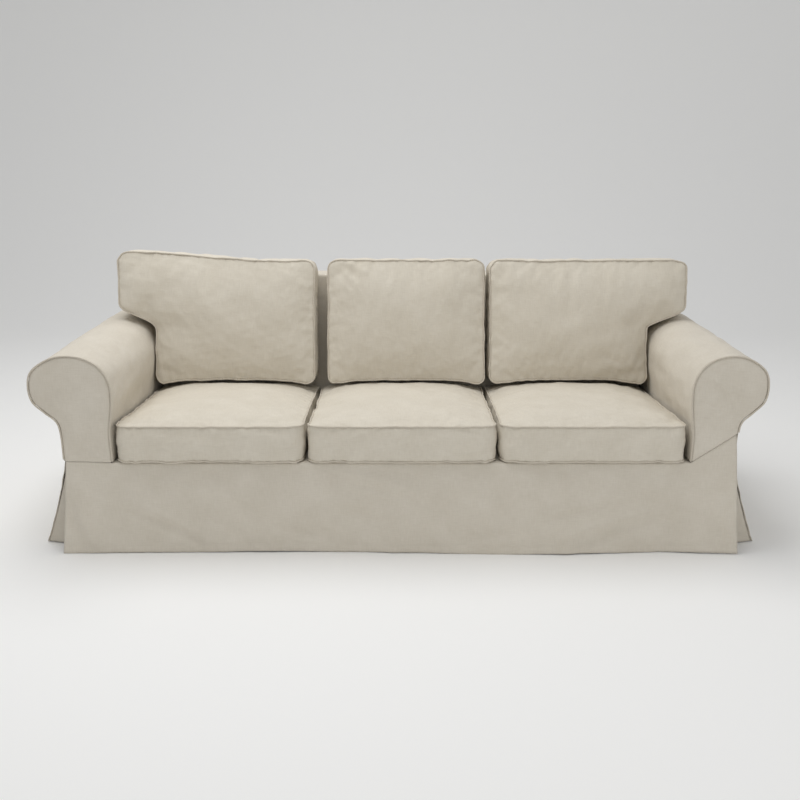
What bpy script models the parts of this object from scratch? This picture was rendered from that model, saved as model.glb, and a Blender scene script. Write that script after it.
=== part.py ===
"""Fitted loose cover of a three-seat sofa with rolled arms, with its six filled cushions.

The sofa under the cover is not part of it, so the cover is a hollow shell of cloth sheets:
skirts, arm covers, arm fronts, seat deck and back. The seat and back cushions are filled.
Every edge of a cushion and the edge of each arm front carries a line of piping.

Units are metres. +Z is up, the front faces -Y, and +X is to the right seen from the front.
The origin is on the floor, under the middle of the whole cover.
"""
import math
from typing import NamedTuple

import bmesh
import bpy
import numpy as np

# ---- driving dimensions -----------------------------------------------------------------
COVER = "sofa_slipcover"
CLOTH = 0.002                  # thickness of every sheet
SEAM_GAP = 0.0005              # left between two sheets that are sewn together
PIPING_RADIUS = 0.0025
PIPING_STANDOFF = 0.0030       # from the edge of the cloth to the middle of the piping
FRONT_Y = -0.440               # plane of the arm fronts and the front skirt
REAR_Y = 0.437                 # plane of the outside back
SEAM_Z = 0.2975                # seam between arm fronts and front skirt
DECK_FRONT_Z = 0.2935          # front edge of the cloth under the seat cushions
SEAT_PITCH = math.radians(3.5)  # the seat falls to the rear
BACK_LEAN = math.radians(13.0)  # inside back and back cushions
BACK_TOP_Z = 0.750             # top of the back, behind the cushions
BACK_HALF_WIDTH = 0.930        # half the width of the back above the arms
BACK_CORNER = 0.045            # radius of the back's two upper corners
HEM_HALF_WIDTH = 1.033         # half the width of the front skirt at the hem
NECK_HALF_WIDTH = 1.001        # half the width of the front skirt at its seam
FLARE_OUT = 1.112              # how far the side skirts swing out at the floor, in front
FLARE_OUT_REAR = 1.050         # the same at the rear corners
FLARE_BACK = 0.088             # how far the side skirt's front edge swings back at the floor
BACK_FLARE = 0.0173            # how far the back skirt swings out at the floor
HEM_Z = 0.0004                 # the hems' middle line, so that their lowest corners meet the floor
FLARE_POWER = 1.15             # how a skirt's swing grows from the seam to the hem
SIDE_WAVE = 0.010              # depth of the waves along a side skirt's hem
BACK_WAVE = 0.004              # the same along the back skirt's hem
PLEAT_INNER_X = (0.975, 0.955)  # a pleat's inner edge, behind the front skirt: top and hem
PLEAT_INNER_BACK = (0.022, 0.072)  # how far that edge lies behind the front plane
PLEAT_TUCK = 0.004             # how far a pleat's outer edge lies inside the side skirt


class Side(NamedTuple):
    """One arm: which way it lies, its inner and outer limits, and where its front seam ends."""

    name: str
    sign: int
    inner: float
    outer: float
    outer_seam_z: float


SIDES = (Side("left", -1, 0.852, 1.093, 0.2975), Side("right", 1, 0.862, 1.083, 0.3850))

# The arm's outline seen from the front, from the inner foot over the roll to the outer foot:
# share of the arm's width from its inner limit, height above the floor.
ARM_OUTLINE = (
    (0.040, 0.2975),
    (0.045, 0.3850),
    (0.004, 0.4650),
    (0.004, 0.5300),
    (0.100, 0.5800),
    (0.280, 0.6100),
    (0.500, 0.6195),
    (0.720, 0.6110),
    (0.940, 0.5760),
    (1.000, 0.5300),
    (0.965, 0.4830),
    (0.830, 0.4500),
    (0.690, 0.4200),
    (0.650, 0.3800),
    (0.640, 0.2975),
)
ARM_NECK_ROW = 12              # row of the outline where the arm cover meets the outer arm
ARM_PIECES = 2                 # pieces of the outline between two rows
ARM_FOOT_SHARE = 0.040         # share of the arm's width at its inner foot
ARM_NECK_SHARE = 0.650         # the same at its neck


class Fold(NamedTuple):
    """A soft ridge (height above 0) or trough that runs between two points of a skirt."""

    start: tuple
    end: tuple
    width: float
    height: float


FRONT_FOLDS = (
    Fold((-0.85, 0.27), (-0.40, 0.14), 0.022, 0.006),
    Fold((-0.76, 0.25), (-0.57, 0.20), 0.014, -0.005),
    Fold((-0.85, 0.15), (-0.60, 0.02), 0.020, -0.009),
    Fold((-0.83, 0.18), (-0.60, 0.05), 0.018, 0.006),
    Fold((-0.98, 0.25), (-0.93, 0.01), 0.025, 0.010),
    Fold((-0.19, 0.27), (0.09, 0.18), 0.018, 0.007),
    Fold((-0.16, 0.23), (0.03, 0.17), 0.014, -0.006),
    Fold((-0.40, 0.08), (-0.15, 0.02), 0.020, -0.005),
    Fold((0.45, 0.11), (0.75, 0.17), 0.018, -0.006),
    Fold((0.42, 0.12), (0.67, 0.18), 0.018, 0.005),
    Fold((0.54, 0.01), (0.84, 0.11), 0.022, -0.009),
)

# How far the front skirt's hem swings forward (above 0) or back: x, swing.
HEM_SWING = ((-1.04, 0.0), (-0.70, -0.008), (-0.22, -0.014), (0.12, 0.0), (0.50, 0.011),
             (0.80, -0.012), (1.04, 0.010))


class Corner(NamedTuple):
    """A corner of a cushion's outline, its radius, and how far the edge after it is drawn in."""

    across: float
    along: float
    radius: float
    draw: float


# Seat cushions, seen from above: across the sofa, and depth from the cushion's front edge.
SEAT_FRONT_Y = -0.450
SEAT_FOOT_Z = 0.3005
SEAT_BOXING = 0.1055
SEAT_CROWN = 0.035
SEAT_DEPTH = 0.655
SEATS = (("left", -0.8505, -0.2890), ("middle", -0.2755, 0.2875), ("right", 0.3010, 0.8555))

# Back cushions, seen from the front: across the sofa, height above the floor.
BACK_FOOT_Y = 0.135
BACK_FOOT_Z = 0.3980
BACK_FOOT_DRAW = 0.020         # the lower edge is drawn up over the seat cushion's crown
BACK_FOOT_SLOPE = 0.060
BACK_TOP_SLOPE = 0.130
BACK_HEIGHT = 0.4200
BACK_BOXING = 0.120
BACK_CROWN = 0.035
BACK_CUSHIONS = (
    ("left", (
        Corner(-0.8450, BACK_FOOT_Z, 0.030, BACK_FOOT_DRAW),
        Corner(-0.2940, BACK_FOOT_Z, 0.025, 0.004),
        Corner(-0.2940, 0.8140, 0.035, 0.000),
        Corner(-0.5000, 0.8150, 0.100, 0.000),
        Corner(-0.9775, 0.8480, 0.050, 0.003),
        Corner(-0.9775, 0.6700, 0.022, 0.000),
        Corner(-0.8450, 0.5900, 0.030, 0.003),
    )),
    ("middle", (
        Corner(-0.2505, BACK_FOOT_Z, 0.025, BACK_FOOT_DRAW),
        Corner(0.2920, BACK_FOOT_Z, 0.025, 0.004),
        Corner(0.2920, 0.8160, 0.045, 0.002),
        Corner(-0.2505, 0.8160, 0.045, 0.004),
    )),
    ("right", (
        Corner(0.3080, BACK_FOOT_Z, 0.025, BACK_FOOT_DRAW),
        Corner(0.8550, BACK_FOOT_Z, 0.030, 0.003),
        Corner(0.8550, 0.5920, 0.030, 0.000),
        Corner(0.9930, 0.6520, 0.022, 0.003),
        Corner(0.9930, 0.8140, 0.050, 0.002),
        Corner(0.3080, 0.8160, 0.040, 0.004),
    )),
)

# A cushion's crown: share of the outline's size, share of the crown's height.
CROWN_RINGS = ((1.00, 0.00), (0.90, 0.42), (0.62, 0.90))
BOXING_BULGE = 1.008           # the boxing's middle, as a share of the outline's size
ARC_STEPS = 3                  # pieces of each rounded corner
EDGE_PIECE = 0.150             # longest straight piece of an outline

CLOTH_COLOUR = (0.665, 0.610, 0.525, 1.0)
CUSHION_COLOUR = (0.690, 0.635, 0.550, 1.0)
PIPING_COLOUR = (0.600, 0.545, 0.465, 1.0)


# ---- helpers ----------------------------------------------------------------------------
def clear_scene():
    """Remove every object that the new file starts with."""
    for obj in list(bpy.data.objects):
        bpy.data.objects.remove(obj, do_unlink=True)


def make_material(name, colour):
    """A matt cloth of one colour."""
    material = bpy.data.materials.new(name)
    material.use_nodes = True
    shader = material.node_tree.nodes["Principled BSDF"]
    shader.inputs["Base Color"].default_value = colour
    shader.inputs["Roughness"].default_value = 0.9
    shader.inputs["Metallic"].default_value = 0.0
    return material


def add_object(name, data, material, collection):
    """Put new data in the cover's collection, with its material."""
    obj = bpy.data.objects.new(name, data)
    data.materials.append(material)
    collection.objects.link(obj)
    return obj


def lerp(start, end, share):
    """The value at a share of the way from start to end."""
    return start + (end - start) * share


def smooth_path(rows, pieces):
    """A smooth line through every row (Catmull-Rom), with so many pieces between two rows."""
    points = np.array(rows, dtype=float)
    padded = np.vstack([2 * points[0] - points[1], points, 2 * points[-1] - points[-2]])
    line = []
    for before, start, end, after in zip(padded, padded[1:], padded[2:], padded[3:]):
        for step in range(pieces):
            t = step / pieces
            line.append(0.5 * (2 * start + (end - before) * t
                               + (2 * before - 5 * start + 4 * end - after) * t * t
                               + (3 * start - before - 3 * end + after) * t ** 3))
    line.append(points[-1])
    return np.array(line)


def point_on(line, share):
    """The point at a share of the line's length."""
    steps = np.hypot(*np.diff(line, axis=0).T)
    reached = np.concatenate([[0.0], np.cumsum(steps)])
    wanted = share * reached[-1]
    return np.array([np.interp(wanted, reached, line[:, axis]) for axis in (0, 1)])


def shifted(line, distance, closed=False):
    """The line moved sideways: above 0 is to the right of the way it runs."""
    if closed:
        ahead, behind = np.roll(line, -1, axis=0), np.roll(line, 1, axis=0)
        run = ahead - behind
    else:
        run = np.gradient(line, axis=0)
    run /= np.hypot(run[:, 0], run[:, 1])[:, None]
    return line + distance * np.column_stack([run[:, 1], -run[:, 0]])


def sheet(name, columns, rows, shape, material, collection):
    """A sheet of cloth: a grid whose points go where shape(u, v) says, u and v from 0 to 1."""
    mesh = bpy.data.meshes.new(name)
    grid = bmesh.new()
    bmesh.ops.create_grid(grid, x_segments=columns, y_segments=rows, size=0.5)
    for vert in grid.verts:
        vert.co = shape(vert.co.x + 0.5, vert.co.y + 0.5)
    grid.to_mesh(mesh)
    grid.free()
    obj = add_object(name, mesh, material, collection)
    solidify = obj.modifiers.new("cloth", "SOLIDIFY")
    solidify.thickness = CLOTH
    solidify.offset = 0.0
    mesh.shade_smooth()
    return obj


def flat_panel(name, outline, material, collection):
    """A flat panel of cloth in its own X-Y plane, with the outline given."""
    curve = bpy.data.curves.new(name, "CURVE")
    curve.dimensions = "2D"
    curve.fill_mode = "BOTH"
    curve.extrude = CLOTH / 2
    spline = curve.splines.new("POLY")
    spline.points.add(len(outline) - 1)
    for point, (x, y) in zip(spline.points, outline):
        point.co = (x, y, 0.0, 1.0)
    spline.use_cyclic_u = True
    return add_object(name, curve, material, collection)


def piping(name, route, closed, material, collection):
    """A line of piping along the route."""
    curve = bpy.data.curves.new(name, "CURVE")
    curve.dimensions = "3D"
    curve.bevel_depth = PIPING_RADIUS
    curve.bevel_resolution = 0
    curve.use_fill_caps = True
    spline = curve.splines.new("POLY")
    spline.points.add(len(route) - 1)
    for point, place in zip(spline.points, route):
        point.co = (*place, 1.0)
    spline.use_cyclic_u = closed
    return add_object(name, curve, material, collection)


def cushion_outline(corners):
    """The outline of a cushion: rounded corners, and edges that are drawn in between them."""
    points = np.array([(corner.across, corner.along) for corner in corners])
    count = len(corners)
    arcs = []
    for index, corner in enumerate(corners):
        here = points[index]
        to_last = points[index - 1] - here
        to_next = points[(index + 1) % count] - here
        to_last /= np.hypot(*to_last)
        to_next /= np.hypot(*to_next)
        half = math.acos(float(np.clip(to_last @ to_next, -1.0, 1.0))) / 2
        cut = corner.radius / math.tan(half)
        middle = here + (to_last + to_next) / np.hypot(*(to_last + to_next)) * (
            corner.radius / math.sin(half))
        first = here + to_last * cut - middle
        last = here + to_next * cut - middle
        turn = math.atan2(first[0] * last[1] - first[1] * last[0], float(first @ last))
        arc = []
        for step in range(ARC_STEPS + 1):
            angle = turn * step / ARC_STEPS
            spin = np.array([[math.cos(angle), -math.sin(angle)],
                             [math.sin(angle), math.cos(angle)]])
            arc.append(middle + spin @ first)
        arcs.append(arc)
    outline = []
    for index, corner in enumerate(corners):
        outline.extend(arcs[index])
        start, end = arcs[index][-1], arcs[(index + 1) % count][0]
        run = end - start
        pieces = max(1, math.ceil(np.hypot(*run) / EDGE_PIECE))
        inward = np.array([-run[1], run[0]]) / np.hypot(*run)
        for step in range(1, pieces):
            share = step / pieces
            held = 1 - (2 * share - 1) ** 4
            outline.append(start + run * share + inward * corner.draw * held)
    return np.array(outline)


def loft(name, sections, material, collection):
    """A closed solid through sections of equally many points, from one end to the other."""
    mesh = bpy.data.meshes.new(name)
    solid = bmesh.new()
    loops = [[solid.verts.new(point) for point in section] for section in sections]
    for low, high in zip(loops, loops[1:]):
        for index, vert in enumerate(low):
            after = (index + 1) % len(low)
            solid.faces.new((vert, low[after], high[after], high[index]))
    solid.faces.new(list(reversed(loops[0])))
    solid.faces.new(loops[-1])
    bmesh.ops.recalc_face_normals(solid, faces=solid.faces)
    solid.to_mesh(mesh)
    solid.free()
    mesh.shade_smooth()
    return add_object(name, mesh, material, collection)


def cushion(name, corners, boxing, crowns, place, materials, collection):
    """One filled cushion and its two lines of piping.

    The outline is carried through the boxing's thickness and drawn together over a crown on
    each face. crowns gives the height of the lower and the upper crown, and place(across,
    along, thick) says where a point goes in the sofa.
    """
    outline = cushion_outline(corners)
    middle = (outline.min(axis=0) + outline.max(axis=0)) / 2
    half = boxing / 2
    levels = [(size, -half - rise * crowns[0]) for size, rise in reversed(CROWN_RINGS)]
    levels.append((BOXING_BULGE, 0.0))
    levels += [(size, half + rise * crowns[1]) for size, rise in CROWN_RINGS]
    sections = []
    for size, thick in levels:
        ring = middle + (outline - middle) * size
        sections.append([place(across, along, thick) for across, along in ring])
    loft(name, sections, materials["cushion"], collection)
    spread = PIPING_STANDOFF * math.sqrt(0.5)
    route = shifted(outline, spread, closed=True)
    for edge, thick in (("lower", -half - spread), ("upper", half + spread)):
        line = [place(across, along, thick) for across, along in route]
        piping(f"{name}_piping_{edge}", line, True, materials["piping"], collection)


# ---- the shell of the cover -------------------------------------------------------------
def deck_z(y):
    """Height of the seat deck at a depth in the sofa."""
    return DECK_FRONT_Z - (y - FRONT_Y) * math.tan(SEAT_PITCH)


def inside_back_y(z):
    """Depth of the inside back at a height."""
    return 0.2425 + (z - 0.400) * math.tan(BACK_LEAN)


def arm_line(side):
    """The arm's outline in metres, x and z, from inner foot to outer foot."""
    rows = [(side.sign * lerp(side.inner, side.outer, share), z) for share, z in ARM_OUTLINE]
    return smooth_path(rows, ARM_PIECES)


def seam_height(side, x):
    """Height of the seam under an arm front, which climbs towards the arm's outer side."""
    foot = lerp(side.inner, side.outer, ARM_FOOT_SHARE)
    neck = lerp(side.inner, side.outer, ARM_NECK_SHARE)
    share = (abs(x) - foot) / (neck - foot)
    return lerp(DECK_FRONT_Z, side.outer_seam_z, max(share, 0.0))


def build_arm(side, materials, collection):
    """Arm cover, outer arm, arm front and the piping round the arm front."""
    line = arm_line(side)
    neck = ARM_NECK_ROW * ARM_PIECES
    over, outside = line[:neck + 1], line[neck:]
    front, rear = FRONT_Y + PIPING_STANDOFF, REAR_Y - PIPING_STANDOFF
    knee_z = ARM_OUTLINE[2][1]

    def cover_shape(u, v):
        x, z = point_on(over, u)
        y = lerp(front, rear, v)
        if u < 0.5 and z < knee_z:
            drop = SEAM_Z - deck_z(y) - CLOTH / 2 - SEAM_GAP
            z -= drop * (knee_z - z) / (knee_z - SEAM_Z)
        return (x, y, z)

    def outer_shape(u, v):
        x, z = point_on(outside, lerp(0.012, 0.992, u))
        return (x, lerp(front, rear, v), z)

    cloth = materials["cover"]
    sheet(f"arm_cover_{side.name}", 24, 3, cover_shape, cloth, collection)
    sheet(f"outer_arm_{side.name}", 5, 4, outer_shape, cloth, collection)

    inward = side.sign * PIPING_STANDOFF
    inner_edge = shifted(line, inward)
    panel = [tuple(point) for point in inner_edge
             if point[1] > seam_height(side, point[0]) + 4 * CLOTH]
    first, last = panel[0], panel[-1]
    panel.insert(0, (first[0], seam_height(side, first[0]) + SEAM_GAP))
    panel.append((last[0], seam_height(side, last[0]) + SEAM_GAP))
    front_panel = flat_panel(f"arm_front_{side.name}", panel, cloth, collection)
    front_panel.rotation_euler = (math.pi / 2, 0.0, 0.0)
    front_panel.location = (0.0, FRONT_Y, 0.0)

    route = [(x, FRONT_Y, z) for x, z in line
             if z > seam_height(side, x) + PIPING_RADIUS + SEAM_GAP]
    piping(f"arm_piping_{side.name}", route, False, materials["piping"], collection)


def fold_height(folds, x, z):
    """How far folds push a point of a skirt to the front."""
    push = 0.0
    here = np.array([x, z])
    for fold in folds:
        start, end = np.array(fold.start), np.array(fold.end)
        run = end - start
        share = float((here - start) @ run / (run @ run))
        held = min(max(share, 0.0), 1.0)
        away = np.hypot(*(here - start - run * held))
        push += fold.height * math.exp(-(away / fold.width) ** 2)
    return push


def build_front_skirt(materials, collection):
    """The front skirt: one panel from the seat and arm seams to the floor, with its folds."""
    stations, swings = zip(*HEM_SWING)
    left, right = SIDES
    columns, arm_columns = 40, 3
    arm_share = arm_columns / columns
    feet = [lerp(side.inner, side.outer, ARM_FOOT_SHARE) for side in SIDES]

    def shape(u, v):
        half = lerp(NECK_HALF_WIDTH, HEM_HALF_WIDTH, v)
        x = float(np.interp(u, (0.0, arm_share, 1.0 - arm_share, 1.0),
                            (-half, -feet[0], feet[1], half)))
        top_z = seam_height(right if x > 0 else left, x) - SEAM_GAP
        z = lerp(top_z, HEM_Z, v)
        swing = float(np.interp(x, stations, swings)) * v
        return (x, FRONT_Y - swing - fold_height(FRONT_FOLDS, x, z) * math.sqrt(v), z)

    sheet("front_skirt", columns, 6, shape, materials["cover"], collection)


def side_skirt_x(u, v):
    """How far out a side skirt hangs: u from its front edge to the rear, v from seam to hem."""
    start = NECK_HALF_WIDTH + 2 * CLOTH
    flare = lerp(FLARE_OUT, FLARE_OUT_REAR, u ** 0.6) - start
    wave = SIDE_WAVE * math.sin(2.5 * math.tau * u) * v * 4 * u * (1 - u)
    return start + flare * v ** FLARE_POWER + wave


def build_side_skirt(side, materials, collection):
    """A side skirt, which swings out to the floor, and the pleat behind its front edge."""
    top, rear = SEAM_Z - CLOTH, REAR_Y - PIPING_STANDOFF

    def skirt_shape(u, v):
        start = FRONT_Y + PIPING_STANDOFF + CLOTH + FLARE_BACK * v
        return (side.sign * side_skirt_x(u, v), lerp(start, rear, u), lerp(top, HEM_Z, v))

    def pleat_shape(u, v):
        inner_y = FRONT_Y + lerp(*PLEAT_INNER_BACK, v)
        outer_y = FRONT_Y + 2 * PLEAT_TUCK + FLARE_BACK * v
        outer_x = side_skirt_x(0.0, v) - PLEAT_TUCK
        curl = 1.5 * PLEAT_TUCK * math.sin(math.pi * u) * v
        return (side.sign * lerp(lerp(*PLEAT_INNER_X, v), outer_x, u),
                lerp(inner_y, outer_y, u) - curl, lerp(top - PLEAT_TUCK, CLOTH, v))

    cloth = materials["cover"]
    sheet(f"side_skirt_{side.name}", 14, 5, skirt_shape, cloth, collection)
    sheet(f"corner_pleat_{side.name}", 4, 5, pleat_shape, cloth, collection)


def build_back(materials, collection):
    """Inside back, boxing over the top, outside back, back skirt and seat deck."""
    cloth = materials["cover"]
    corner_steps = np.linspace(0.0, math.pi / 2, 5)
    side_x, top = BACK_HALF_WIDTH, BACK_TOP_Z
    arm_top = max(z for _, z in ARM_OUTLINE) + 2 * CLOTH
    right_rise = [(side_x, arm_top)]
    right_rise += [(side_x - BACK_CORNER * (1 - math.cos(angle)),
                    top - BACK_CORNER * (1 - math.sin(angle))) for angle in corner_steps]
    over_top = np.array([(-x, z) for x, z in right_rise] + right_rise[::-1])

    def boxing_shape(u, v):
        x, z = point_on(over_top, u)
        start = inside_back_y(z) + CLOTH / 2 + SEAM_GAP
        return (x, lerp(start, REAR_Y - CLOTH, v), z)

    sheet("back_boxing", 22, 1, boxing_shape, cloth, collection)

    back_foot_z = deck_z(inside_back_y(SEAM_Z)) + 3 * CLOTH
    outline = []
    for side in reversed(SIDES):
        crest = (side.inner + side.outer) / 2
        line = shifted(arm_line(side), -side.sign * 2 * CLOTH)
        rise = [(x, z) for x, z in line
                if back_foot_z + 5 * CLOTH < z < arm_top and abs(x) < min(side_x, crest)]
        half = [(rise[0][0], back_foot_z)] + rise + [(side.sign * x, z) for x, z in right_rise]
        outline += half if side.sign > 0 else half[::-1]
    slope = [(x, z / math.cos(BACK_LEAN)) for x, z in outline]
    panel = flat_panel("inside_back", slope, cloth, collection)
    panel.rotation_euler = (math.pi / 2 - BACK_LEAN, 0.0, 0.0)
    panel.location = (0.0, inside_back_y(0.0), 0.0)

    outline = []
    for side in reversed(SIDES):
        crest = (side.inner + side.outer) / 2
        roll = [(x, z) for x, z in arm_line(side)[::-1] if abs(x) >= crest]
        half = roll + [(side.sign * x, z) for x, z in right_rise]
        outline += half if side.sign > 0 else half[::-1]
    panel = flat_panel("outside_back", outline, cloth, collection)
    panel.rotation_euler = (math.pi / 2, 0.0, 0.0)
    panel.location = (0.0, REAR_Y, 0.0)

    def skirt_shape(u, v):
        half = lerp(NECK_HALF_WIDTH, FLARE_OUT_REAR - 2 * CLOTH, v ** FLARE_POWER)
        x = lerp(-half, half, u)
        wave = BACK_WAVE * math.sin(3.5 * math.tau * u) * math.sin(math.pi * u) * v
        return (x, REAR_Y + BACK_FLARE * v + wave * v, lerp(SEAM_Z - SEAM_GAP, HEM_Z, v))

    sheet("back_skirt", 26, 3, skirt_shape, cloth, collection)

    def deck_shape(u, v):
        left, right = SIDES
        ends = [lerp(side.inner, side.outer, ARM_FOOT_SHARE) + CLOTH / 2
                for side in (left, right)]
        y = lerp(FRONT_Y + CLOTH, inside_back_y(back_foot_z) - 3 * CLOTH, v)
        return (lerp(-ends[0], ends[1], u), y, deck_z(y) - CLOTH / 2)

    sheet("seat_deck", 1, 1, deck_shape, cloth, collection)


# ---- the cushions -----------------------------------------------------------------------
def seat_place(across, along, thick):
    """Where a point of a seat cushion goes: the cushion lies on the deck, which falls back."""
    up = thick + SEAT_BOXING / 2
    return (across,
            SEAT_FRONT_Y + along * math.cos(SEAT_PITCH) + up * math.sin(SEAT_PITCH),
            SEAT_FOOT_Z - along * math.sin(SEAT_PITCH) + up * math.cos(SEAT_PITCH))


def back_place(across, along, thick):
    """Where a point of a back cushion goes: the cushion leans back and stands on the seat."""
    rise = along - BACK_FOOT_Z
    slope = lerp(BACK_FOOT_SLOPE, BACK_TOP_SLOPE, rise / BACK_HEIGHT)
    return (across, BACK_FOOT_Y + rise * math.tan(BACK_LEAN) - thick, along + thick * slope)


def build_cushions(materials, collection):
    """Three seat cushions and three back cushions; the outer two back cushions have ears."""
    for name, left, right in SEATS:
        corners = (Corner(left, 0.0, 0.040, -0.004), Corner(right, 0.0, 0.040, 0.005),
                   Corner(right, SEAT_DEPTH, 0.035, 0.003), Corner(left, SEAT_DEPTH, 0.035, 0.005))
        cushion(f"seat_cushion_{name}", corners, SEAT_BOXING, (0.001, SEAT_CROWN), seat_place,
                materials, collection)
    for name, corners in BACK_CUSHIONS:
        cushion(f"back_cushion_{name}", corners, BACK_BOXING, (BACK_CROWN, BACK_CROWN),
                back_place, materials, collection)


def main():
    """Build the whole cover."""
    clear_scene()
    collection = bpy.data.collections.new(COVER)
    bpy.context.scene.collection.children.link(collection)
    materials = {
        "cover": make_material("cover_cloth", CLOTH_COLOUR),
        "cushion": make_material("cushion_cloth", CUSHION_COLOUR),
        "piping": make_material("piping_cloth", PIPING_COLOUR),
    }
    build_front_skirt(materials, collection)
    for side in SIDES:
        build_arm(side, materials, collection)
        build_side_skirt(side, materials, collection)
    build_back(materials, collection)
    build_cushions(materials, collection)


main()
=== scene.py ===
"""Looks of a loose cotton cover for a three-seat sofa with rolled arms.

The cover is a hollow shell of sewn cloth sheets over a sofa that isn't shown: a front skirt,
two side skirts with corner pleats, a back skirt, two arm covers with flat fronts, and a back.
Three filled seat cushions and three filled back cushions belong to it, and piping runs along
every cushion edge and round each arm front. Units are metres, +Z is up, the front faces -Y.
"""
import logging
import math
from dataclasses import dataclass, field
from enum import Enum

import bpy
import numpy as np
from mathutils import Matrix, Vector


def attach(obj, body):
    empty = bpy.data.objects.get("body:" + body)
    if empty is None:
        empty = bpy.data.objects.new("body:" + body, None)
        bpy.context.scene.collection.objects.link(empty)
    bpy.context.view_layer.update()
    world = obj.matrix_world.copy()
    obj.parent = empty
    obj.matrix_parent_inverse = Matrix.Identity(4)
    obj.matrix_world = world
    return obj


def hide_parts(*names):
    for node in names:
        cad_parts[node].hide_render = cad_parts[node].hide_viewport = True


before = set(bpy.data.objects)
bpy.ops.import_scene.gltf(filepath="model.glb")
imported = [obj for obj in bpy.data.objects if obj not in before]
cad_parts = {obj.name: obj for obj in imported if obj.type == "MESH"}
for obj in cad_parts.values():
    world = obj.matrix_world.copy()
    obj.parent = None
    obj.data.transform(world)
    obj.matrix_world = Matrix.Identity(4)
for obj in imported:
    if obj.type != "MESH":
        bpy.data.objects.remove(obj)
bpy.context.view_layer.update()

LOG = logging.getLogger("sofa_cover")
Array = np.ndarray

# ---- sizes that every piece shares ------------------------------------------------------
CLOTH = 0.002                   # thickness of the cover's cotton, seams and all
SEAM_GAP = 0.0005               # left between two sheets that are sewn together
FRONT_Y = -0.440                # plane of the arm fronts and the front skirt
REAR_Y = 0.437                  # plane of the outside back
SEAM_Z = 0.2975                 # seam between the arms and the skirts
DECK_FRONT_Z = 0.2935           # front edge of the cloth under the seat cushions
HEM_Z = 0.0004                  # the hems' middle line
HEM_BAND = 0.022                # depth of the turned hem
SEAT_PITCH = math.radians(3.5)  # the seat falls to the rear
BACK_LEAN = math.radians(13.0)  # inside back and back cushions
PIPING_RADIUS = 0.0026
PIPING_ROOM = 0.0030            # the arms' cloth stops this far short of the sofa's two ends
SEAM_DIP = 0.0012               # the cloth is drawn in this far along a sewn edge
HEM_SWELL = 0.0007              # the turned hem stands this much proud of the skirt
HEM_LIFT = 0.0006               # the side and back skirts' middle line clears the floor's
STITCH_DEPTH = 0.0011           # depth of the groove that the hem's stitches draw
STITCH_WIDTH = 0.0035           # and its width
INSIDE_BACK_Y = 0.2425          # depth of the inside back, at the height that follows
INSIDE_BACK_Z = 0.400
REST_GAP = 0.0015               # between a cushion and what it rests on
CORD_STANDOFF = 0.0014          # a cushion's piping lies this far outside its seam
FILLING_STEPS = 20              # moments of the simulation that fills a cushion
SLACK_CROWN = 0.72              # share of the crown that a cushion has before it is filled
SEAM_FIRMNESS = 0.8             # how sharp a cushion's seams stay when its mesh is subdivided


class Hand(Enum):
    """Which arm of the sofa a piece belongs to, as seen from the front."""

    LEFT = -1
    RIGHT = 1

    @property
    def word(self) -> str:
        """The hand as it stands in a piece's name."""
        return self.name.lower()


class Hold(Enum):
    """How a sheet of the cover is held in its place."""

    STRETCHED = "stretched"
    HUNG = "hung"


# ---- numbers and curves -----------------------------------------------------------------
def lerp(start: float | Array, end: float | Array, share: float | Array) -> float | Array:
    """The value at a share of the way from start to end."""
    return start + (end - start) * share


def ease(low: float, high: float, value: Array) -> Array:
    """A soft step: 0 at low, 1 at high, level at both."""
    share = np.clip((value - low) / (high - low), 0.0, 1.0)
    return share * share * (3.0 - 2.0 * share)


def smooth_path(rows: Array, pieces: int) -> Array:
    """Run a smooth line through every row.

    A Catmull-Rom curve: between two rows, half of (2b + (c-a)t + (2a-5b+4c-d)t^2 +
    (3b-a-3c+d)t^3), where a, b, c and d are the four rows round the place.

    Args:
        rows: the points to pass through, one in each row.
        pieces: pieces of the line between two rows.

    Returns:
        The points of the line.
    """
    rows = np.asarray(rows, dtype=float)
    padded = np.vstack([2 * rows[0] - rows[1], rows, 2 * rows[-1] - rows[-2]])
    before, start, end, after = padded[:-3], padded[1:-2], padded[2:-1], padded[3:]
    t = (np.arange(pieces) / pieces)[None, :, None]
    before, start, end, after = (part[:, None, :] for part in (before, start, end, after))
    curve = 0.5 * (2 * start + (end - before) * t
                   + (2 * before - 5 * start + 4 * end - after) * t ** 2
                   + (3 * start - before - 3 * end + after) * t ** 3)
    return np.vstack([curve.reshape(-1, rows.shape[1]), rows[-1]])


def point_on(line: Array, share: Array) -> Array:
    """Read points off a line.

    Args:
        line: the line's points, one in each row.
        share: shares of the line's length, in an array of any shape.

    Returns:
        The points at those shares, with the coordinates along the last axis.
    """
    steps = np.sqrt((np.diff(line, axis=0) ** 2).sum(axis=1))
    reached = np.concatenate([[0.0], np.cumsum(steps)])
    wanted = np.asarray(share) * reached[-1]
    return np.stack([np.interp(wanted, reached, part) for part in line.T], axis=-1)


def line_length(line: Array) -> float:
    """Length of a line of points."""
    return float(np.sqrt((np.diff(line, axis=0) ** 2).sum(axis=1)).sum())


def unevenness(across: Array, along: Array, length: float, seed: int) -> Array:
    """Soft unevenness of cloth that has been worn and washed.

    The sum of nine plane waves with seeded directions and phases, over three.

    Args:
        across: first coordinate of each point, in metres.
        along: second coordinate of each point.
        length: middle wavelength, in metres.
        seed: picks the waves.

    Returns:
        A height for each point, mostly between -1 and 1.
    """
    draw = np.random.default_rng(seed)
    total = np.zeros(np.broadcast(across, along).shape)
    for _ in range(9):
        turn, phase = draw.uniform(0.0, math.tau, 2)
        pace = math.tau / (length * draw.uniform(0.65, 1.6))
        total += np.sin(pace * (across * math.cos(turn) + along * math.sin(turn)) + phase)
    return total / 3.0


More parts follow.
